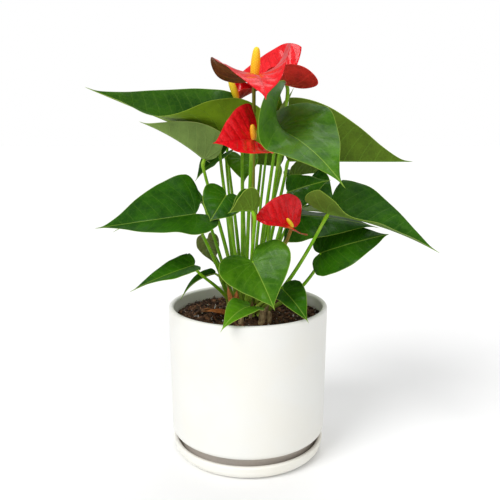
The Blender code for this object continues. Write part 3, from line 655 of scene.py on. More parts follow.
def spadix_rod(entry):
    """A spadix: a blunt rod, widest below its middle, covered in a lattice of small beads.
    A bead is where two spirals of opposite hand cross: the radius gains the share
    rise max(0, cos(n q + w s)) max(0, cos(n q - w s)) - seam."""
    base = placed(entry, "base")
    tip = placed(entry, "spadix")
    radius = entry["spadix_radius"]
    normal = blade_normal(entry, np.zeros(1), np.zeros(1))[0]
    start = base + normal * 0.5
    t = 0.5 - 0.5 * np.cos(np.linspace(0.0, 1.0, SPADIX_ROWS) * math.pi)
    line = start + np.multiply.outer(t, tip - start)
    bend = np.multiply.outer(t * (1.0 - t) ** 2 * 0.9, normal * 3.0)
    shape = 0.80 + 0.20 * np.sin(math.pi * np.minimum(t * 1.15, 1.0) ** 0.8)
    radii = radius * shape * np.sqrt(np.clip(1.0 - t ** 11, 0.01, 1.0))
    pitch = 2.0 * math.pi / BEAD_PITCH

    def beads(q, s):
        first = np.maximum(0.0, np.cos(BEAD_ROWS * q + pitch * s))
        second = np.maximum(0.0, np.cos(BEAD_ROWS * q - pitch * s))
        return BEAD_RISE * first * second - BEAD_SEAM

    rod = tube(line + bend, radii, SPADIX_SIDES, slot=0, bump=beads)
    q = np.linspace(0.0, 2.0 * np.pi, SPADIX_SIDES, endpoint=False)
    q = np.concatenate([np.tile(q, SPADIX_ROWS), [0.0, 0.0]])
    s = rod["flow"][:, 0]
    # Bead height, which the spadix skin turns into painted shade in the seams and a painted
    # highlight on the tops.
    rod["flow"][:, 2] = (beads(q, s) + BEAD_SEAM) / BEAD_RISE
    return rod


# ---- turned pieces -------------------------------------------------------------------------
def arc(cx, cz, rx, rz, start, stop, count):
    """Points of an ellipse's part, angles in degrees."""
    q = np.radians(np.linspace(start, stop, count))
    return list(zip(cx + rx * np.cos(q), cz + rz * np.sin(q)))


def turned(profile, segments):
    """A profile of (radius, height) turned about the upright axis, its two ends on it."""
    rows = np.array(profile[1:-1], float)
    q = np.linspace(0.0, 2.0 * np.pi, segments, endpoint=False)
    x = np.multiply.outer(rows[:, 0], np.cos(q))
    y = np.multiply.outer(rows[:, 0], np.sin(q))
    z = np.repeat(rows[:, 1:2], segments, axis=1)
    points = np.stack([x, y, z], axis=-1).reshape(-1, 3)
    k, n, quads = bands(segments, len(rows))
    first = len(points)
    last = (len(rows) - 1) * segments
    low = np.stack([np.full(segments, first), n, k], axis=-1)
    high = np.stack([np.full(segments, first + 1), last + k, last + n], axis=-1)
    ends = [[0.0, 0.0, profile[0][1]], [0.0, 0.0, profile[-1][1]]]
    points = np.vstack([points, ends])
    return dict(points=points, flow=np.zeros((len(points), 3)), edge=np.zeros(len(points)),
                flat=points[:, :2].copy(),
                faces=[(quads[:, [0, 3, 2, 1]], 0), (low, 0), (high, 0)])


def between(start, stop, count):
    """Points strictly between two profile points, so that long walls have even bands."""
    t = np.linspace(0.0, 1.0, count + 2)[1:-1]
    return [(start[0] + (stop[0] - start[0]) * a, start[1] + (stop[1] - start[1]) * a)
            for a in t]


def pot_profile():
    """Outside from the middle of the underside up to the rim, then the inside down."""
    rim = RIM_RADIUS
    low = rim * FOOT_TAPER
    foot = SAUCER_RADIUS - FOOT_INSET
    floor = SAUCER_FLOOR + GAP
    step = POT_STEP
    profile = [(0.0, floor), (foot * 0.5, floor), (foot - 1.5, floor)]
    profile += arc(foot - 1.5, floor + 1.5, 1.5, 1.5, -80, 0, 6)
    profile += [(foot, step - 3.0)]
    profile += arc(foot + 2.4, step - 2.4, 2.4, 2.4, 180, 100, 5)
    profile += arc(low - 6.0, step + 6.0, 6.0, 6.0, -84, 0, 14)
    wall_low = (low, step + 6.0)
    wall_high = (rim, POT_TOP - RIM_ROUND)
    profile += between(wall_low, wall_high, 24)
    profile += [wall_high]
    profile += arc(rim - WALL / 2, POT_TOP - 2.6, WALL / 2, 2.6, 0, 180, 25)
    inner_low = (low - WALL - 0.3, POT_BOTTOM)
    profile += between((rim - WALL, POT_TOP - RIM_ROUND), inner_low, 24)
    profile += arc(low - WALL - 8.3, POT_BOTTOM, 8.0, 6.0, 0, -90, 10)
    profile += [(0.0, step + 6.0)]
    return profile


def saucer_profile():
    """A low dish: flat underside, rounded outer edge, rounded lip, flat floor."""
    out = SAUCER_RADIUS
    base = out - 12.0
    profile = [(0.0, 0.0), (base * 0.5, 0.0), (base, 0.0)]
    profile += arc(base, 10.0, out - 0.8 - base, 10.0, -84, 0, 18)
    profile += arc(out - 2.4, SAUCER_HEIGHT - 2.2, 2.4, 2.2, 0, 180, 19)
    profile += [(out - 6.0, SAUCER_FLOOR + 2.6)]
    profile += arc(out - 7.4, SAUCER_FLOOR + 1.4, 1.2, 1.4, -10, -90, 5)
    profile += [(0.0, SAUCER_FLOOR)]
    return profile


def inner_radius(height):
    """Inside radius of the pot at a height above its inner floor's rounding."""
    low = RIM_RADIUS * FOOT_TAPER
    part = (height - POT_BOTTOM) / (POT_TOP - RIM_ROUND - POT_BOTTOM)
    return (low - WALL - 0.3) + (RIM_RADIUS - low + 0.3) * part


# ---- soil ----------------------------------------------------------------------------------
def soil_bumps(x, y):
    """Height of the soil over its level: three coarse waves, none under the crown, and
    finer ones everywhere."""
    r = np.hypot(x - CROWN_AT[0], y - CROWN_AT[1])
    rough = (np.sin(0.31 * x + 0.7) * np.cos(0.27 * y - 0.4)
             + 0.6 * np.sin(0.53 * x - 0.41 * y) + 0.4 * np.cos(0.71 * y + 0.37 * x + 1.0))
    fine = np.sin(1.9 * x + 0.6 * y) * np.sin(1.7 * y - 0.8 * x)
    fine = fine + 0.6 * np.sin(3.1 * x - 2.2 * y + 1.3) * np.cos(2.7 * y + 1.9 * x)
    return 1.5 * rough * np.clip((r - 36.0) / 10.0, 0.0, 1.0) + 0.35 * fine


def soil_body(segments, rings):
    """The soil: a turned body with a bumpy top, height = level + soil_bumps(x, y)."""
    edge = inner_radius(SOIL_LEVEL) - GAP
    low = POT_BOTTOM
    lower = inner_radius(low) - GAP - 0.2
    profile = [(0.0, low - 5.4), (lower - 10.0, low - 5.4), (lower, low + 1.0)]
    profile += between((lower, low + 1.0), (edge, SOIL_LEVEL), 6)
    profile += [(edge * ring / rings, SOIL_LEVEL) for ring in range(rings, 0, -1)]
    profile += [(0.0, SOIL_LEVEL)]
    body = turned(profile, segments)
    points = body["points"]
    top = points[:, 2] > SOIL_LEVEL - 0.01
    points[top, 2] += soil_bumps(points[top, 0], points[top, 1])
    return body


def chip_shape(level):
    """A ball of 20 faces, or 80 when level is 1, as points and faces."""
    g = (1.0 + math.sqrt(5.0)) / 2.0
    a = np.array([(-1, g, 0), (1, g, 0), (-1, -g, 0), (1, -g, 0), (0, -1, g), (0, 1, g),
                  (0, -1, -g), (0, 1, -g), (g, 0, -1), (g, 0, 1), (-g, 0, -1), (-g, 0, 1)])
    gap = np.linalg.norm(a[:, None] - a[None], axis=-1)
    near = (gap > 0.1) & (gap < 2.1)
    i, j, k = np.meshgrid(np.arange(12), np.arange(12), np.arange(12), indexing="ij")
    ring = near[i, j] & near[j, k] & near[k, i] & (i < j) & (i < k)
    faces = np.stack([i[ring], j[ring], k[ring]], axis=-1)
    out = np.einsum("fc,fc->f", np.cross(a[faces[:, 1]] - a[faces[:, 0]],
                                         a[faces[:, 2]] - a[faces[:, 0]]), a[faces[:, 0]])
    faces = faces[out > 0.0]
    points = unit(a)
    if level == 0:
        return points, faces
    pairs = np.sort(np.concatenate([faces[:, [0, 1]], faces[:, [1, 2]], faces[:, [2, 0]]]), axis=1)
    edges, back = np.unique(pairs, axis=0, return_inverse=True)
    middle = unit(points[edges[:, 0]] + points[edges[:, 1]])
    m = back.reshape(3, -1).T + len(points)
    split = np.concatenate([np.stack([faces[:, 0], m[:, 0], m[:, 2]], axis=-1),
                            np.stack([faces[:, 1], m[:, 1], m[:, 0]], axis=-1),
                            np.stack([faces[:, 2], m[:, 2], m[:, 1]], axis=-1), m])
    return np.vstack([points, middle]), split


def turns(rng, count, flatness):
    """Rotation matrices: any turn about the upright axis after a tilt of up to flatness."""
    yaw = rng.uniform(0.0, 2.0 * np.pi, count)
    tilt = rng.normal(0.0, flatness, count)
    roll = rng.normal(0.0, flatness, count)
    zero = np.zeros(count)
    one = np.ones(count)
    spin = np.array([[np.cos(yaw), -np.sin(yaw), zero], [np.sin(yaw), np.cos(yaw), zero],
                     [zero, zero, one]])
    pitch = np.array([[np.cos(tilt), zero, np.sin(tilt)], [zero, one, zero],
                      [-np.sin(tilt), zero, np.cos(tilt)]])
    lean = np.array([[one, zero, zero], [zero, np.cos(roll), -np.sin(roll)],
                     [zero, np.sin(roll), np.cos(roll)]])
    return np.einsum("ijn,jkn,kln->nil", spin, pitch, lean)


def spread_on_soil(rng, count, reach, clear):
    """Points spread evenly on the soil, out to reach and none inside clear of the crown."""
    r = np.sqrt(rng.uniform(0.0, 1.0, count * 3)) * reach
    q = rng.uniform(0.0, 2.0 * np.pi, count * 3)
    x = r * np.cos(q)
    y = r * np.sin(q)
    free = np.hypot(x - CROWN_AT[0], y - CROWN_AT[1]) > clear
    x = x[free][:count]
    y = y[free][:count]
    return np.stack([x, y, SOIL_LEVEL + soil_bumps(x, y)], axis=-1)


def grains(rng, count, sizes, level, rough, flatness, lift, reach, clear):
    """Loose grains: each is a ball whose points are drawn in or out by up to rough, cut to
    its own three sizes, turned and laid on the soil."""
    ball, faces = chip_shape(level)
    where = spread_on_soil(rng, count, reach, clear)
    count = len(where)
    drawn = 1.0 + rng.uniform(-rough, rough, (count, len(ball), 1))
    low, high = np.array(sizes[0]), np.array(sizes[1])
    size = low + (high - low) * rng.uniform(0.0, 1.0, (count, 3)) ** 1.6
    local = ball[None] * drawn * size[:, None, :]
    local = np.einsum("nij,npj->npi", turns(rng, count, flatness), local)
    height = rng.uniform(lift[0], lift[1], count)
    local[..., 2] += height[:, None]
    points = (where[:, None, :] + local).reshape(-1, 3)
    faces = (faces[None] + (np.arange(count) * len(ball))[:, None, None]).reshape(-1, 3)
    shade = np.repeat(rng.uniform(0.0, 1.0, count), len(ball))
    flow = np.stack([shade, shade, shade], axis=-1)
    return dict(points=points, flow=flow, edge=shade, flat=points[:, :2].copy(),
                faces=[(faces, 0)])


def fibre_tubes(rng, count, reach):
    """Fine dry fibres that wander over the soil: short tubes on gently bent lines."""
    start = spread_on_soil(rng, count, reach, 14.0)
    parts = []
    for foot in start:
        way = rng.uniform(0.0, 2.0 * np.pi)
        length = rng.uniform(7.0, 24.0)
        t = np.linspace(0.0, 1.0, 9)
        bend = rng.uniform(-1.2, 1.2) * t + rng.uniform(-0.8, 0.8) * np.sin(5.0 * t)
        x = foot[0] + length * t * np.cos(way + bend)
        y = foot[1] + length * t * np.sin(way + bend)
        far = np.hypot(x, y)
        shrink = np.minimum(1.0, reach / np.maximum(far, 1.0))
        x = x * shrink
        y = y * shrink
        hop = 1.3 + 1.6 * np.sin(np.pi * t) * rng.uniform(0.0, 1.0)
        z = SOIL_LEVEL + soil_bumps(x, y) + hop
        path = np.stack([x, y, z], axis=-1)
        radii = rng.uniform(0.18, 0.42) * (1.0 - 0.6 * t)
        part = tube(path, radii, 6, slot=0)
        part["flow"][:] = rng.uniform(0.0, 1.0)
        parts.append(part)
    return joined(parts)


# ---- crown ---------------------------------------------------------------------------------
def crown_mound(segments):
    """The fibrous base of the plant: a low mound, radius changed by a share
    0.06 sin(9 q) + 0.04 sin(17 q + h) so that it is knotted."""
    edge = 24.0
    profile = [(0.0, -2.0), (edge * 0.7, -2.0), (edge, 0.0), (edge * 0.98, 2.0)]
    profile += [(edge * 0.9, 4.4), (edge * 0.76, 6.0), (edge * 0.55, 6.9), (edge * 0.3, 7.2)]
    profile += [(0.0, 7.3)]
    mound = turned([(r, SOIL_LEVEL + z) for r, z in profile], segments)
    points = mound["points"]
    q = np.arctan2(points[:, 1], points[:, 0])
    grow = 1.0 + 0.06 * np.sin(9.0 * q) + 0.04 * np.sin(17.0 * q + points[:, 2])
    points[:, 0] = points[:, 0] * grow * 0.94 + CROWN_AT[0]
    points[:, 1] = points[:, 1] * grow * 0.94 + CROWN_AT[1]
    return mound


def round_the_crown(rng, count, wander, inner, outer):
    """Angle and place of each of count things round the crown, spaced evenly but for
    wander of a step, drawn one at a time."""
    for number in range(count):
        q = 2.0 * math.pi * (number + wander * rng.uniform(-1.0, 1.0)) / count
        r = rng.uniform(inner, outer)
        yield q, CROWN_AT[0] + r * math.cos(q), CROWN_AT[1] + r * math.sin(q)


def crown_stumps(rng, count):
    """Short cut stems between the living ones, each leaning a little outwards."""
    parts = []
    for q, x, y in round_the_crown(rng, count, 0.3, 15.0, 22.0):
        tall = rng.uniform(7.0, 15.0)
        t = np.linspace(0.0, 1.0, 8)
        lean = rng.uniform(0.10, 0.35)
        z = SOIL_LEVEL + tall * t - 1.0
        path = np.stack([x + tall * t * lean * math.cos(q), y + tall * t * lean * math.sin(q), z],
                        axis=-1)
        thick = rng.uniform(1.8, 3.2)
        radii = thick * np.array([1.25, 1.15, 1.05, 1.0, 0.96, 0.93, 0.90, 0.62])
        part = tube(path, radii, 16, slot=0)
        part["flow"][:, 2] = rng.uniform(0.0, 1.0)
        parts.append(part)
    return joined(parts)


def cut_stems():
    """Taller cut stems at the front of the crown, wider at the foot and rounded on top."""
    t = np.linspace(0.0, 1.0, 12)
    parts = []
    for x, y, tall, thick in CUT_STEMS:
        lean = 1.5 * np.sin(2.5 * t)
        path = np.stack([x + lean, y - 0.06 * tall * t, SOIL_LEVEL + tall * t], axis=-1)
        radii = thick * (1.35 - 0.45 * t ** 0.6) * np.sqrt(np.clip(1.0 - t ** 10, 0.05, 1.0))
        part = tube(path, radii, 20, slot=0, bump=lambda q, s: 0.06 * np.cos(5.0 * q + 0.3 * s))
        part["flow"][:, 1] = 0.5
        parts.append(part)
    return joined(parts)


def crown_sheaths(rng, count):
    """Thin papery sheaths that wrap the stalks' feet: pointed scales standing in a ring,
    each curled round its own middle line."""
    parts = []
    for number, (q, x, y) in enumerate(round_the_crown(rng, count, 0.4, 16.0, 24.0)):
        tall = rng.uniform(9.0, 21.0)
        away = rng.uniform(0.05, 0.45)
        tip = (x + tall * away * math.cos(q), y + tall * away * math.sin(q), 2.0 + tall)
        entry = leaf("sheath", (x, y, 2.0), tip, (-math.cos(q), -math.sin(q), 0.2),
                     rng.uniform(7.0, 12.0), None, outline=SCALE, fold=(10.0, 10.0),
                     curl=(rng.uniform(60.0, 120.0), rng.uniform(60.0, 120.0)),
                     arch=rng.uniform(-0.10, 0.10))
        shell = one_finish(blade_shell(entry, 22, 12, 0.0, 0.7, 0.4, 3.0, number))
        shell["flow"][:, 1] = rng.uniform(0.0, 1.0)
        parts.append(shell)
    return joined(parts)


# ---- materials -----------------------------------------------------------------------------
def arithmetic(operation):
    """An operator that adds a Math node, and its reflected form."""
    def forward(self, other):
        return self.math(operation, self, other)

    def reflected(self, other):
        return self.math(operation, other, self)

    return forward, reflected


class Value:
    """One output of a material's node.  Arithmetic on it adds Math nodes beside it."""
    __add__, __radd__ = arithmetic("ADD")
    __sub__, __rsub__ = arithmetic("SUBTRACT")
    __mul__, __rmul__ = arithmetic("MULTIPLY")
    __truediv__, __rtruediv__ = arithmetic("DIVIDE")
    __pow__, __rpow__ = arithmetic("POWER")

    def __init__(self, graph, socket):
        self.graph = graph
        self.socket = socket

    def math(self, operation, *inputs):
        return self.graph.node("ShaderNodeMath", {"operation": operation},
                               dict(enumerate(inputs)))

    def __abs__(self):
        return self.math("ABSOLUTE", self)

    def fract(self):
        return self.math("FRACT", self)

    def smooth(self, low, high, start=0.0, stop=1.0):
        """start below low, stop above high, and a smooth step between them."""
        return self.graph.node("ShaderNodeMapRange", {"interpolation_type": "SMOOTHSTEP"},
                               {0: self, 1: low, 2: high, 3: start, 4: stop})


class Graph:
    """The nodes of one material, with its Principled shader."""

    def __init__(self, name, **constants):
        self.material = bpy.data.materials.new(name)
        self.material.use_nodes = True
        self.tree = self.material.node_tree
        self.tree.nodes.clear()
        self.shader = self.tree.nodes.new("ShaderNodeBsdfPrincipled")
        output = self.tree.nodes.new("ShaderNodeOutputMaterial")
        self.tree.links.new(self.shader.outputs[0], output.inputs[0])
        for key, value in constants.items():
            label = key.replace("_", " ").title().replace("Ior", "IOR")
            self.shader.inputs[label].default_value = value

    def node(self, kind, settings, sockets, output=0):
        """Any node: its own settings first, then the value or link of each socket."""
        made = self.tree.nodes.new(kind)
        for key, value in settings.items():
            if key == "stops":
                self.set_stops(made.color_ramp, value)
            else:
                setattr(made, key, value)
        for key, value in sockets.items():
            self.put(made.inputs[key], value)
        return Value(self, made.outputs[output])

    def set_stops(self, ramp, stops):
        """Stops of a colour ramp as (place, colour)."""
        while len(ramp.elements) < len(stops):
            ramp.elements.new(0.5)
        for element, (place, shade) in zip(ramp.elements, stops):
            element.position = place
            element.color = (*shade, 1.0)

    def put(self, socket, value):
        """Links a Value to a socket, or sets a number, vector or colour on it."""
        if isinstance(value, Value):
            self.tree.links.new(value.socket, socket)
        elif socket.type == "RGBA":
            socket.default_value = (*tuple(value)[:3], 1.0)
        else:
            socket.default_value = value

    def feed(self, sockets):
        """Feeds the shader's own sockets."""
        for key, value in sockets.items():
            self.put(self.shader.inputs[key], value)
        return self.material

    def mix(self, factor, first, second, blend="MIX"):
        """Colour between first, at factor 0, and second, at factor 1."""
        settings = {"data_type": "RGBA", "blend_type": blend, "clamp_factor": True}
        return self.node("ShaderNodeMix", settings, {0: factor, 6: first, 7: second}, 2)

    def over(self, base, *layers):
        """base with colours laid over it in turn, each as (factor, colour)."""
        for factor, shade in layers:
            base = self.mix(factor, base, shade)
        return base

    def place(self, stretch=(1.0, 1.0, 1.0)):
        """Object coordinates in millimetres, stretched by a share along each axis."""
        where = self.node("ShaderNodeTexCoord", {}, {}, 3)
        grow = tuple(share / MM for share in stretch)
        return self.node("ShaderNodeVectorMath", {"operation": "MULTIPLY"}, {0: where, 1: grow})

    def flat(self):
        """The piece's own UV map, in millimetres."""
        return self.node("ShaderNodeUVMap", {"uv_map": "flat"}, {})

    def flat_stretched(self, along, across):
        """The UV map stretched by a share along each way."""
        return self.node("ShaderNodeVectorMath", {"operation": "MULTIPLY"},
                         {0: self.flat(), 1: (along, across, 1.0)})

    def attribute(self, name, output=0):
        """An attribute of the mesh: output 0 as a vector, 2 as a number."""
        settings = {"attribute_type": "GEOMETRY", "attribute_name": name}
        return self.node("ShaderNodeAttribute", settings, {}, output)

    def split(self, vector):
        """The three numbers of a vector."""
        return [self.node("ShaderNodeSeparateXYZ", {}, {0: vector}, axis) for axis in range(3)]

    def noise(self, where, size, detail=3.0, roughness=0.55, distortion=0.0):
        """Noise whose lumps are about size millimetres."""
        return self.node("ShaderNodeTexNoise", {},
                         {"Vector": where, "Scale": 1.0 / size, "Detail": detail,
                          "Roughness": roughness, "Distortion": distortion})

    def cells(self, where, size, feature="DISTANCE_TO_EDGE", output=0):
        """Cells about size millimetres across: distance to their borders, or another
        feature."""
        return self.node("ShaderNodeTexVoronoi", {"feature": feature},
                         {"Vector": where, "Scale": 1.0 / size}, output)

    def bump(self, height, depth, below=None):
        """Bump whose height 1 is depth millimetres, over an earlier one."""
        sockets = {"Strength": 1.0, "Distance": depth * MM, "Height": height}
        if below is not None:
            sockets["Normal"] = below
        return self.node("ShaderNodeBump", {}, sockets)


def scaled(shade, share):
    """A colour made darker or lighter, no part of it over 1."""
    return tuple(min(1.0, share * part) for part in shade)


def distances(g):
    """Millimetres from a blade's nearest side vein, and from its midrib."""
    number, step, across = g.split(g.attribute("flow"))
    return (0.5 - abs(number.fract() - 0.5)) * step, across


def vein_masks(g, reach, fade):
    """Side veins, midrib, margin and fine net of a blade, each 1 on it and 0 off it."""
    to_vein, across = distances(g)
    edge = g.attribute("edge", 2)
    where = g.flat()
    side = to_vein.smooth(0.10, reach, 1.0, 0.0) * edge.smooth(1.5, fade)
    rib = across.smooth(0.20, 0.80, 1.0, 0.0)
    margin = edge.smooth(0.20, 0.75, 1.0, 0.0)
    coarse = g.cells(where, 5.2).smooth(0.0, 0.11, 1.0, 0.0)
    fine = g.cells(where, 1.9).smooth(0.0, 0.16, 1.0, 0.0)
    return side, rib, margin, coarse, fine


def leaf_upper(tone, gloss):
    """Upper face of a leaf: dark green, mottled, paler beside its veins, with pale midrib and
    side veins, a pale margin that also carries a painted highlight, and veins set into a
    waxy surface whose sheen lies in streaks along the blade."""
    dark, light, vein, margin_and_highlight = LEAF_TONES[tone][:4]
    g = Graph("leaf_upper_" + tone, ior=1.4, specular_ior_level=0.11, coat_roughness=0.14,
              coat_ior=1.35)
    side, rib, margin, coarse, fine = vein_masks(g, 0.62, 9.0)
    broad = g.noise(g.place(), 26.0, 3.0)
    mottle = g.noise(g.place(), 3.2, 4.0, 0.6)
    near = distances(g)[0].smooth(0.0, 3.6, 1.0, 0.0)
    shade = broad.smooth(0.32, 0.68) * 0.75 + mottle.smooth(0.3, 0.7) * 0.25
    pale_rib = tuple(0.55 * a + 0.45 * b for a, b in zip(vein, margin_and_highlight))
    # The margin layer is partly a paler edge and partly a painted highlight along it.
    base = g.over(g.mix(shade, dark, light), (near * 0.15, light),
                  (coarse * 0.05 + fine * 0.03, vein), (side * 0.11, vein),
                  (rib * 0.50, pale_rib), (margin * 0.48, margin_and_highlight))
    grain = g.noise(g.flat(), 0.55, 2.0)
    height = coarse * -0.35 + fine * -0.18 + side * -1.0 + mottle * 0.8 + grain * 0.22
    wipe = g.noise(g.flat_stretched(0.16, 1.0), 5.0, 3.0, 0.6)
    roughness = 0.24 + mottle * 0.16 + side * 0.10 + wipe * 0.18
    coat = gloss * (broad.smooth(0.2, 0.8, 0.4, 1.0) + wipe.smooth(0.5, 0.7) * 1.6)
    return g.feed({"Base Color": base, "Roughness": roughness, "Coat Weight": coat,
                   "Normal": g.bump(height, 0.16)})


def leaf_under(tone):
    """Underside of a leaf: matt olive, with raised paler veins."""
    vein, margin_and_highlight, under = LEAF_TONES[tone][2:]
    g = Graph("leaf_under_" + tone, ior=1.4, specular_ior_level=0.16)
    side, rib, margin, coarse, fine = vein_masks(g, 0.85, 7.0)
    broad = g.noise(g.place(), 20.0, 3.0)
    mottle = g.noise(g.place(), 2.4, 3.0, 0.6)
    base = g.mix(broad.smooth(0.3, 0.7) * 0.7 + mottle * 0.3, scaled(under, 0.62), under)
    # The margin layer is partly a paler edge and partly a painted highlight along it.
    base = g.over(base, (coarse * 0.10 + fine * 0.05, vein), (side * 0.28, vein),
                  (rib * 0.60, vein), (margin * 0.60, margin_and_highlight))
    height = coarse * 0.4 + fine * 0.2 + side * 1.0 + mottle * 0.5
    roughness = 0.52 + mottle * 0.16 - side * 0.08
    return g.feed({"Base Color": base, "Roughness": roughness,
                   "Normal": g.bump(height, 0.20)})


def stalk_skin(tone):
    """Skin of a stalk: pale at its foot, then green or brown, with fine lengthwise streaks
    and small pale flecks."""
    foot, middle, top = STALK_TONES[tone]
    g = Graph("stalk_" + tone, ior=1.45, specular_ior_level=0.2, coat_roughness=0.25)
    along, whole = g.split(g.attribute("flow"))[:2]
    streak = g.noise(g.place((1.0, 1.0, 0.05)), 0.7, 3.0)
    patch = g.noise(g.place(), 14.0, 2.0)
    flecks = g.cells(g.place((1.0, 1.0, 0.35)), 1.3, "F1").smooth(0.06, 0.16, 1.0, 0.0)
    base = g.over(g.mix(along.smooth(4.0, 42.0), foot, middle),
                  ((whole - along).smooth(0.0, 26.0, 0.9, 0.0), top),
                  (streak.smooth(0.35, 0.7) * 0.35, scaled(middle, 0.55)),
                  (patch.smooth(0.45, 0.75) * 0.35, foot), (flecks * 0.30, foot))
    return g.feed({"Base Color": base, "Roughness": 0.36 + streak * 0.2,
                   "Coat Weight": 0.08, "Normal": g.bump(streak * 0.8 + flecks * 0.4, 0.09)})


def spathe_upper(settings):
    """Upper face of a spathe: strong glossy red, netted, with painted shade in its sunken
    veins, in the seams between its swells and along its margin.
    """
    red = tuple(settings.red)
    seam_shade = tuple(settings.seam_shade_red)
    bright = (min(1.0, red[0] * 1.22), red[1] * 2.6, red[2] * 2.0)
    g = Graph("spathe_upper", ior=1.45, specular_ior_level=0.15, coat_roughness=0.07,
              coat_ior=1.35)
    side, rib, margin, coarse, fine = vein_masks(g, 1.1, 6.0)
    broad = g.noise(g.place(), 16.0, 3.0)
    mottle = g.noise(g.place(), 2.6, 4.0, 0.6)
    # The deeper red layers are painted shade in the vein grooves, the seams between the swells and
    # along the margin.
    base = g.over(g.mix(broad.smooth(0.3, 0.7), red, bright),
                  (coarse * 0.40 + fine * 0.16, seam_shade), (side * 0.26, seam_shade),
                  (rib * 0.30, seam_shade), (margin * 0.5, seam_shade))
    swell = g.cells(g.flat(), 5.2).smooth(0.0, 0.55)
    height = swell * 1.0 - side * 0.7 - fine * 0.10 + mottle * 0.35
    return g.feed({"Base Color": base, "Roughness": 0.24 + mottle * 0.14,
                   "Coat Weight": broad.smooth(0.2, 0.8, 0.35, 0.6),
                   "Normal": g.bump(height, 0.34)})


def spathe_under(name, colour_low, colour_high):
    """Underside of a spathe: duller, with raised veins."""
    g = Graph(name, ior=1.45, specular_ior_level=0.2, coat_roughness=0.3, coat_ior=1.35)
    side, rib, margin, coarse, fine = vein_masks(g, 1.0, 6.0)
    broad = g.noise(g.place(), 11.0, 3.0)
    mottle = g.noise(g.place(), 1.9, 3.0, 0.6)
    lighter = scaled(colour_high, 1.7)
    base = g.over(g.mix(broad.smooth(0.3, 0.7), colour_low, colour_high),
                  (mottle * 0.25, colour_low),
                  (coarse * 0.22 + fine * 0.10 + side * 0.42, lighter), (rib * 0.5, lighter))
    height = coarse * 0.5 + side * 1.0 + mottle * 0.4
    return g.feed({"Base Color": base, "Roughness": 0.42 + mottle * 0.15,
                   "Coat Weight": 0.15, "Normal": g.bump(height, 0.22)})


def spadix_skin(name, yellow):
    """Skin of a spadix: yellow beads with painted shade in the seams between them and a painted
    highlight on their tops, a little greener towards the foot."""
    g = Graph(name, ior=1.45)
    along, whole, bead = g.split(g.attribute("flow"))
    grain = g.noise(g.place(), 0.5, 2.0)
    # The darker colour is painted shade in the seams and the lighter top colour is a painted
    # highlight on the beads.
    seam_shade = (yellow[0] * 0.92, yellow[1] * 0.80, yellow[2] * 0.5)
    top = (min(1.0, yellow[0] * 1.05), min(1.0, yellow[1] * 1.2), yellow[2] * 2.4)
    base = g.over(g.mix(bead.smooth(0.0, 0.55), seam_shade, yellow),
                  (bead.smooth(0.5, 1.0) * 0.7, top),
                  ((along / whole).smooth(0.0, 0.25, 0.5, 0.0), (0.72, 0.62, 0.09)))
    return g.feed({"Base Color": base, "Roughness": 0.40 + grain * 0.2,
                   "Normal": g.bump(grain, 0.08)})


def glaze(name, shade, peel, soil_line):
    """Matt white glaze: fine waves, faint specks, slightly warmer patches, a thin shine, and
    inside the pot a brown tide line just above the soil."""
    g = Graph(name, ior=1.5, coat_roughness=0.28)
    x, y, z = g.split(g.place())
    patch = g.noise(g.place(), 60.0, 3.0)
    wave = g.noise(g.place(), 2.2, 2.0)
    pores = g.cells(g.place(), 1.5, "F1").smooth(0.05, 0.12, 1.0, 0.0)
    chosen = g.noise(g.place(), 7.0, 2.0).smooth(0.56, 0.66)
    warm = (shade[0], shade[1] * 0.985, shade[2] * 0.955)
    base = g.mix(patch.smooth(0.35, 0.7), shade, warm)
    base = g.mix(pores * chosen * 0.16, base, (0.45, 0.42, 0.36))
    if soil_line > 0.0:
        radius = (x * x + y * y) ** 0.5
        inside = radius.smooth(RIM_RADIUS - WALL + 0.3, RIM_RADIUS - WALL + 1.1, 1.0, 0.0)
        ragged = z + g.noise(g.place(), 5.0, 4.0, 0.65) * -7.0
        tide = ragged.smooth(soil_line - 4.5, soil_line + 0.5, 1.0, 0.0) * inside
        dust = g.noise(g.place(), 0.9, 3.0).smooth(0.55, 0.75) * inside
        base = g.mix(tide * 0.55, base, (0.20, 0.12, 0.07))
        base = g.mix(dust * z.smooth(soil_line, soil_line + 9.0, 0.35, 0.0), base,
                     (0.22, 0.14, 0.09))
    return g.feed({"Base Color": base, "Roughness": 0.44 + wave * 0.10 + patch * 0.06,
                   "Coat Weight": 0.18, "Normal": g.bump(wave + pores * -0.6, peel / MM)})


def earth(name, stops, roughness, size):
    """Bark and peat: each grain has its own tone from the stops, with painted shade in its pits.
    """
    g = Graph(name, ior=1.4)
    shade = g.split(g.attribute("flow"))[0]
    grain = g.noise(g.place(), size, 5.0, 0.7)
    lines = g.noise(g.place((1.0, 0.25, 1.0)), size * 0.5, 3.0, 0.6, 0.6)
    tone = g.node("ShaderNodeValToRGB", {"stops": stops}, {0: shade * 0.8 + grain * 0.2})
    # The near-black layer in the low places of the lines pattern is painted shade in the pits.
    base = g.mix(lines.smooth(0.35, 0.65, 0.55, 0.0), tone, (0.008, 0.005, 0.004))
    return g.feed({"Base Color": base, "Roughness": roughness,
                   "Normal": g.bump(grain + lines * 0.6, 0.5)})


def papery(name, low, high, streaked):
    """Dry sheath or cut stem: streaked along its length, each piece with its own shade."""
    g = Graph(name, ior=1.4)
    shade = g.split(g.attribute("flow"))[1]
    streak = g.noise(g.place((1.0, 1.0, 0.12)), 0.9, 4.0, 0.65)
    patch = g.noise(g.place(), 5.0, 3.0)
    base = g.mix(patch.smooth(0.3, 0.7) * 0.6 + shade.smooth(0.0, 1.0) * 0.4, low, high)
    base = g.mix(streak.smooth(0.40, 0.70) * streaked, base, scaled(low, 0.35))
    return g.feed({"Base Color": base, "Roughness": 0.55 + streak * 0.25,
                   "Normal": g.bump(streak, 0.35)})


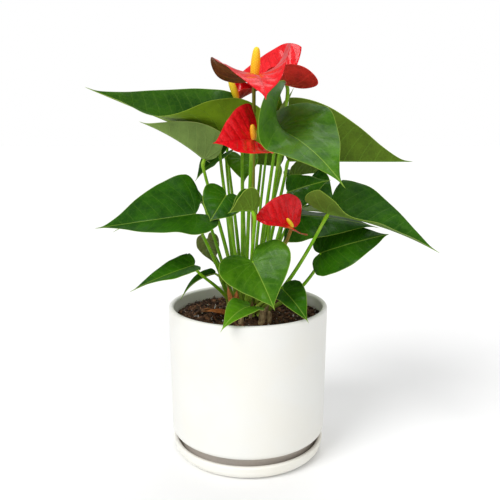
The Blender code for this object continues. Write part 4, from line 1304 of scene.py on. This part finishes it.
# ---- making objects ------------------------------------------------------------------------
def make_piece(name, shell, materials, nodes=(), smooth=True):
    """Puts a shell's arrays into a mesh and gives the piece its place in the object."""
    mesh = bpy.data.meshes.new(name)
    counts = np.concatenate([np.full(len(rows), rows.shape[1]) for rows, index in shell["faces"]])
    corners = np.concatenate([rows.reshape(-1) for rows, index in shell["faces"]]).astype(np.int32)
    indices = np.concatenate([np.full(len(rows), index) for rows, index in shell["faces"]])
    starts = np.concatenate([[0], np.cumsum(counts)[:-1]]).astype(np.int32)
    mesh.vertices.add(len(shell["points"]))
    mesh.vertices.foreach_set("co", (shell["points"] * MM).astype(np.float32).ravel())
    mesh.loops.add(len(corners))
    mesh.loops.foreach_set("vertex_index", corners)
    mesh.polygons.add(len(counts))
    mesh.polygons.foreach_set("loop_start", starts)
    mesh.polygons.foreach_set("material_index", indices.astype(np.int32))
    mesh.update(calc_edges=True)
    for name_on_mesh, kind, key in (("flow", "FLOAT_VECTOR", "vector"),
                                    ("edge", "FLOAT", "value")):
        layer = mesh.attributes.new(name_on_mesh, kind, "POINT")
        layer.data.foreach_set(key, shell[name_on_mesh].astype(np.float32).ravel())
    layer = mesh.uv_layers.new(name="flat")
    layer.uv.foreach_set("vector", shell["flat"][corners].astype(np.float32).ravel())
    mesh.validate()
    if smooth:
        mesh.shade_smooth()
    piece = bpy.data.objects.new(name, mesh)
    bpy.context.scene.collection.objects.link(piece)
    for material in materials:
        mesh.materials.append(material)
    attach(piece, "root")
    if nodes:
        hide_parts(*nodes)
    return piece


class MakePot(bpy.types.Operator):
    """Turn the pot and its saucer and glaze them."""
    bl_idname = "anthurium.pot"
    bl_label = "Pot and Saucer"

    def execute(self, context):
        settings = context.scene.anthurium_pot
        pot = turned(pot_profile(), settings.segments)
        glazed = glaze("pot_glaze", tuple(settings.glaze), settings.peel, SOIL_LEVEL)
        make_piece("pot_turned", pot, [glazed], ["pot"])
        saucer = turned(saucer_profile(), settings.segments)
        creamy = glaze("saucer_glaze", tuple(settings.saucer_glaze), settings.peel, 0.0)
        make_piece("saucer_turned", saucer, [creamy], ["saucer"])
        return {"FINISHED"}


class MakeSoil(bpy.types.Operator):
    """Fill the pot with soil and lay bark, crumbs, white grains and fibres on it."""
    bl_idname = "anthurium.soil"
    bl_label = "Soil"

    def execute(self, context):
        settings = context.scene.anthurium_soil
        rng = np.random.default_rng(settings.seed)
        dark = [(0.0, (0.020, 0.010, 0.006)), (1.0, (0.085, 0.042, 0.020))]
        make_piece("soil_body", soil_body(180, 56), [earth("peat", dark, 0.9, 2.2)],
                   ["soil"])
        reach = inner_radius(SOIL_LEVEL) - 4.5
        for key, name, sizes, level, rough, lean, lift, past, clear, finish, smooth in GRAINS:
            shell = grains(rng, getattr(settings, key), sizes, level, rough, lean, lift,
                           reach + past, clear)
            make_piece(name, shell, [earth(*finish)], smooth=smooth)
        straw = [(0.0, (0.05, 0.028, 0.015)), (1.0, (0.26, 0.15, 0.075))]
        fibres = fibre_tubes(rng, settings.fibres, reach)
        make_piece("root_fibres", fibres, [earth("fibre", straw, 0.8, 0.8)])
        return {"FINISHED"}


class MakeCrown(bpy.types.Operator):
    """Build the woody crown with its cut stems, papery sheaths and dry scales."""
    bl_idname = "anthurium.crown"
    bl_label = "Crown"

    def execute(self, context):
        rng = np.random.default_rng(21)
        wood = [(0.0, (0.030, 0.018, 0.010)), (1.0, (0.16, 0.10, 0.045))]
        make_piece("crown_mound", crown_mound(120), [earth("crown_bark", wood, 0.85, 1.6)],
                   ["crown"])
        cream = papery("cut_stem", (0.34, 0.24, 0.11), (0.58, 0.48, 0.26), 0.7)
        make_piece("crown_stumps", crown_stumps(rng, 13), [cream])
        tan = papery("inner_sheath", (0.20, 0.09, 0.03), (0.46, 0.30, 0.12), 0.8)
        make_piece("crown_sheaths", crown_sheaths(rng, 17), [tan])
        rust = papery("dry_sheath", (0.34, 0.085, 0.018), (0.62, 0.22, 0.055), 0.6)
        husk = papery("husk", (0.22, 0.12, 0.05), (0.58, 0.44, 0.22), 0.8)
        make_piece("cut_stems", cut_stems(), [husk])
        scales = [one_finish(blade_shell(entry, 30, 16, 0.15, 0.8, 0.4, 3.0, 400 + number))
                  for number, entry in enumerate(DRY_SCALES)]
        make_piece("dry_scales", joined(scales), [rust])
        for number, entry in enumerate(SHEATHS):
            shell = one_finish(blade_shell(entry, 40, 20, 0.1, 0.5, 0.45, 3.0, 300 + number))
            finish = husk if entry["tone"] == "husk" else rust
            make_piece(entry["name"] + "_fine", shell, [finish], [entry["name"]])
        return {"FINISHED"}


class MakeLeaves(bpy.types.Operator):
    """Grow every leaf, blade and stalk together."""
    bl_idname = "anthurium.leaves"
    bl_label = "Leaves"

    def execute(self, context):
        settings = context.scene.anthurium_leaf
        upper = {tone: leaf_upper(tone, settings.gloss) for tone in LEAF_TONES}
        under = {tone: leaf_under(tone) for tone in LEAF_TONES}
        skin = stalk_skin("green")
        for number, entry in enumerate(LEAVES):
            spacing = 5.0 + entry["width"] * 0.085
            blade = blade_shell(entry, settings.rays, settings.rings, settings.relief / MM,
                                settings.flutter / MM, BLADE_THICKNESS, spacing, number)
            tone = entry["tone"]
            make_piece(entry["name"] + "_grown", joined([blade, leaf_stalk(entry)]),
                       [upper[tone], under[tone], skin], [entry["name"]])
        return {"FINISHED"}


class MakeFlowers(bpy.types.Operator):
    """Grow every flower: stalk, spathe and spadix."""
    bl_idname = "anthurium.flowers"
    bl_label = "Flowers"

    def execute(self, context):
        settings = context.scene.anthurium_flower
        leaf_settings = context.scene.anthurium_leaf
        upper = spathe_upper(settings)
        back = tuple(settings.back_red)
        under = spathe_under("spathe_under", back, scaled(back, 1.5))
        brown = spathe_under("spathe_under_brown", (0.095, 0.022, 0.008), (0.17, 0.045, 0.012))
        olive = spathe_under("spathe_under_olive", (0.20, 0.06, 0.015), (0.30, 0.11, 0.025))
        backs = {"front": brown, "young": olive}
        yellow = tuple(settings.yellow)
        gold = spadix_skin("spadix_gold", yellow)
        orange = spadix_skin("spadix_orange", (yellow[0], yellow[1] * 0.72, yellow[2]))
        made = bpy.data.materials
        skins = {tone: made.get("stalk_" + tone) or stalk_skin(tone) for tone in STALK_TONES}
        for number, entry in enumerate(FLOWERS):
            name = "flower_" + entry["name"]
            spacing = 6.0 + entry["width"] * 0.05
            shell = blade_shell(entry, leaf_settings.rays, leaf_settings.rings + 6,
                                settings.relief / MM, leaf_settings.flutter / MM * 0.8,
                                BLADE_THICKNESS, spacing, 100 + number)
            make_piece(name + "_spathe_grown", shell,
                       [upper, backs.get(entry["name"], under)], [name + "_spathe"])
            make_piece(name + "_spadix_grown", spadix_rod(entry),
                       [orange if entry["name"] == "middle" else gold],
                       [name + "_spadix"])
            make_piece(name + "_stalk_grown", flower_stalk(entry), [skins[entry["tone"]]],
                       [name + "_stalk"])
        return {"FINISHED"}


class MakeStage(bpy.types.Operator):
    """Lay the floor and set the lights and the camera."""
    bl_idname = "anthurium.stage"
    bl_label = "Stage"

    def execute(self, context):
        settings = context.scene.anthurium_stage
        scene = context.scene
        mesh = bpy.data.meshes.new("floor")
        far = 12.0
        mesh.from_pydata([(-far, -far, 0.0), (far, -far, 0.0), (far, far, 0.0), (-far, far, 0.0)],
                         [], [(0, 1, 2, 3)])
        floor = bpy.data.objects.new("floor", mesh)
        scene.collection.objects.link(floor)
        g = Graph("floor", roughness=0.7)
        mesh.materials.append(g.feed({"Base Color": tuple(settings.floor)}))
        world = bpy.data.worlds.new("studio")
        world.use_nodes = True
        air = world.node_tree
        air.nodes["Background"].inputs["Color"].default_value = (1.0, 1.0, 1.0, 1.0)
        seen = air.nodes.new("ShaderNodeLightPath")
        lit = air.nodes.new("ShaderNodeMapRange")
        lit.inputs["To Min"].default_value = settings.air
        lit.inputs["To Max"].default_value = 1.0
        air.links.new(seen.outputs["Is Camera Ray"], lit.inputs["Value"])
        air.links.new(lit.outputs[0], air.nodes["Background"].inputs["Strength"])
        scene.world = world
        scene.view_settings.view_transform = "Standard"
        lights = (("key", (-0.62, -0.62, 0.78), 30.0, settings.key),
                  ("front", (0.35, -1.0, 0.5), 24.0, settings.front),
                  ("top", (0.15, 0.35, 1.0), 40.0, settings.top))
        for name, where, spread, power in lights:
            data = bpy.data.lights.new(name, "SUN")
            data.angle = math.radians(spread)
            data.energy = power
            lamp = bpy.data.objects.new(name, data)
            aim = -np.array(where)
            flat_run = math.hypot(aim[0], aim[1])
            lamp.rotation_euler = (math.atan2(flat_run, -aim[2]), 0.0,
                                   math.atan2(aim[1], aim[0]) - math.pi / 2)
            scene.collection.objects.link(lamp)
        data = bpy.data.cameras.new("camera")
        data.sensor_width = 36.0
        data.lens = settings.lens
        camera = bpy.data.objects.new("camera", data)
        camera.location = (settings.aside, -settings.distance, settings.height)
        camera.rotation_euler = (math.pi / 2 - settings.tilt, 0.0, 0.0)
        scene.collection.objects.link(camera)
        scene.camera = camera
        return {"FINISHED"}


STEPS = (MakePot, MakeSoil, MakeCrown, MakeLeaves, MakeFlowers, MakeStage)
GROUPS = (("anthurium_pot", PotSettings), ("anthurium_soil", SoilSettings),
          ("anthurium_leaf", LeafSettings), ("anthurium_flower", FlowerSettings),
          ("anthurium_stage", StageSettings))


class AnthuriumPanel(bpy.types.Panel):
    """The steps in order, and the sizes and colours they use."""
    bl_idname = "VIEW3D_PT_anthurium"
    bl_label = "Potted Anthurium"
    bl_space_type = "VIEW_3D"
    bl_region_type = "UI"
    bl_category = "Anthurium"

    def draw(self, context):
        for step in STEPS:
            self.layout.operator(step.bl_idname)
        for name, group in GROUPS:
            settings = getattr(context.scene, name)
            part = self.layout.box()
            for key in group.__annotations__:
                part.prop(settings, key)


def register():
    for name, group in GROUPS:
        bpy.utils.register_class(group)
        setattr(bpy.types.Scene, name, PointerProperty(type=group))
    for kind in (*STEPS, AnthuriumPanel):
        bpy.utils.register_class(kind)


def unregister():
    for kind in reversed((*STEPS, AnthuriumPanel)):
        bpy.utils.unregister_class(kind)
    for name, group in reversed(GROUPS):
        delattr(bpy.types.Scene, name)
        bpy.utils.unregister_class(group)


def main():
    """Builds everything."""
    register()
    bpy.ops.anthurium.pot()
    bpy.ops.anthurium.soil()
    bpy.ops.anthurium.crown()
    bpy.ops.anthurium.leaves()
    bpy.ops.anthurium.flowers()
    bpy.ops.anthurium.stage()


if __name__ == "__main__":
    main()
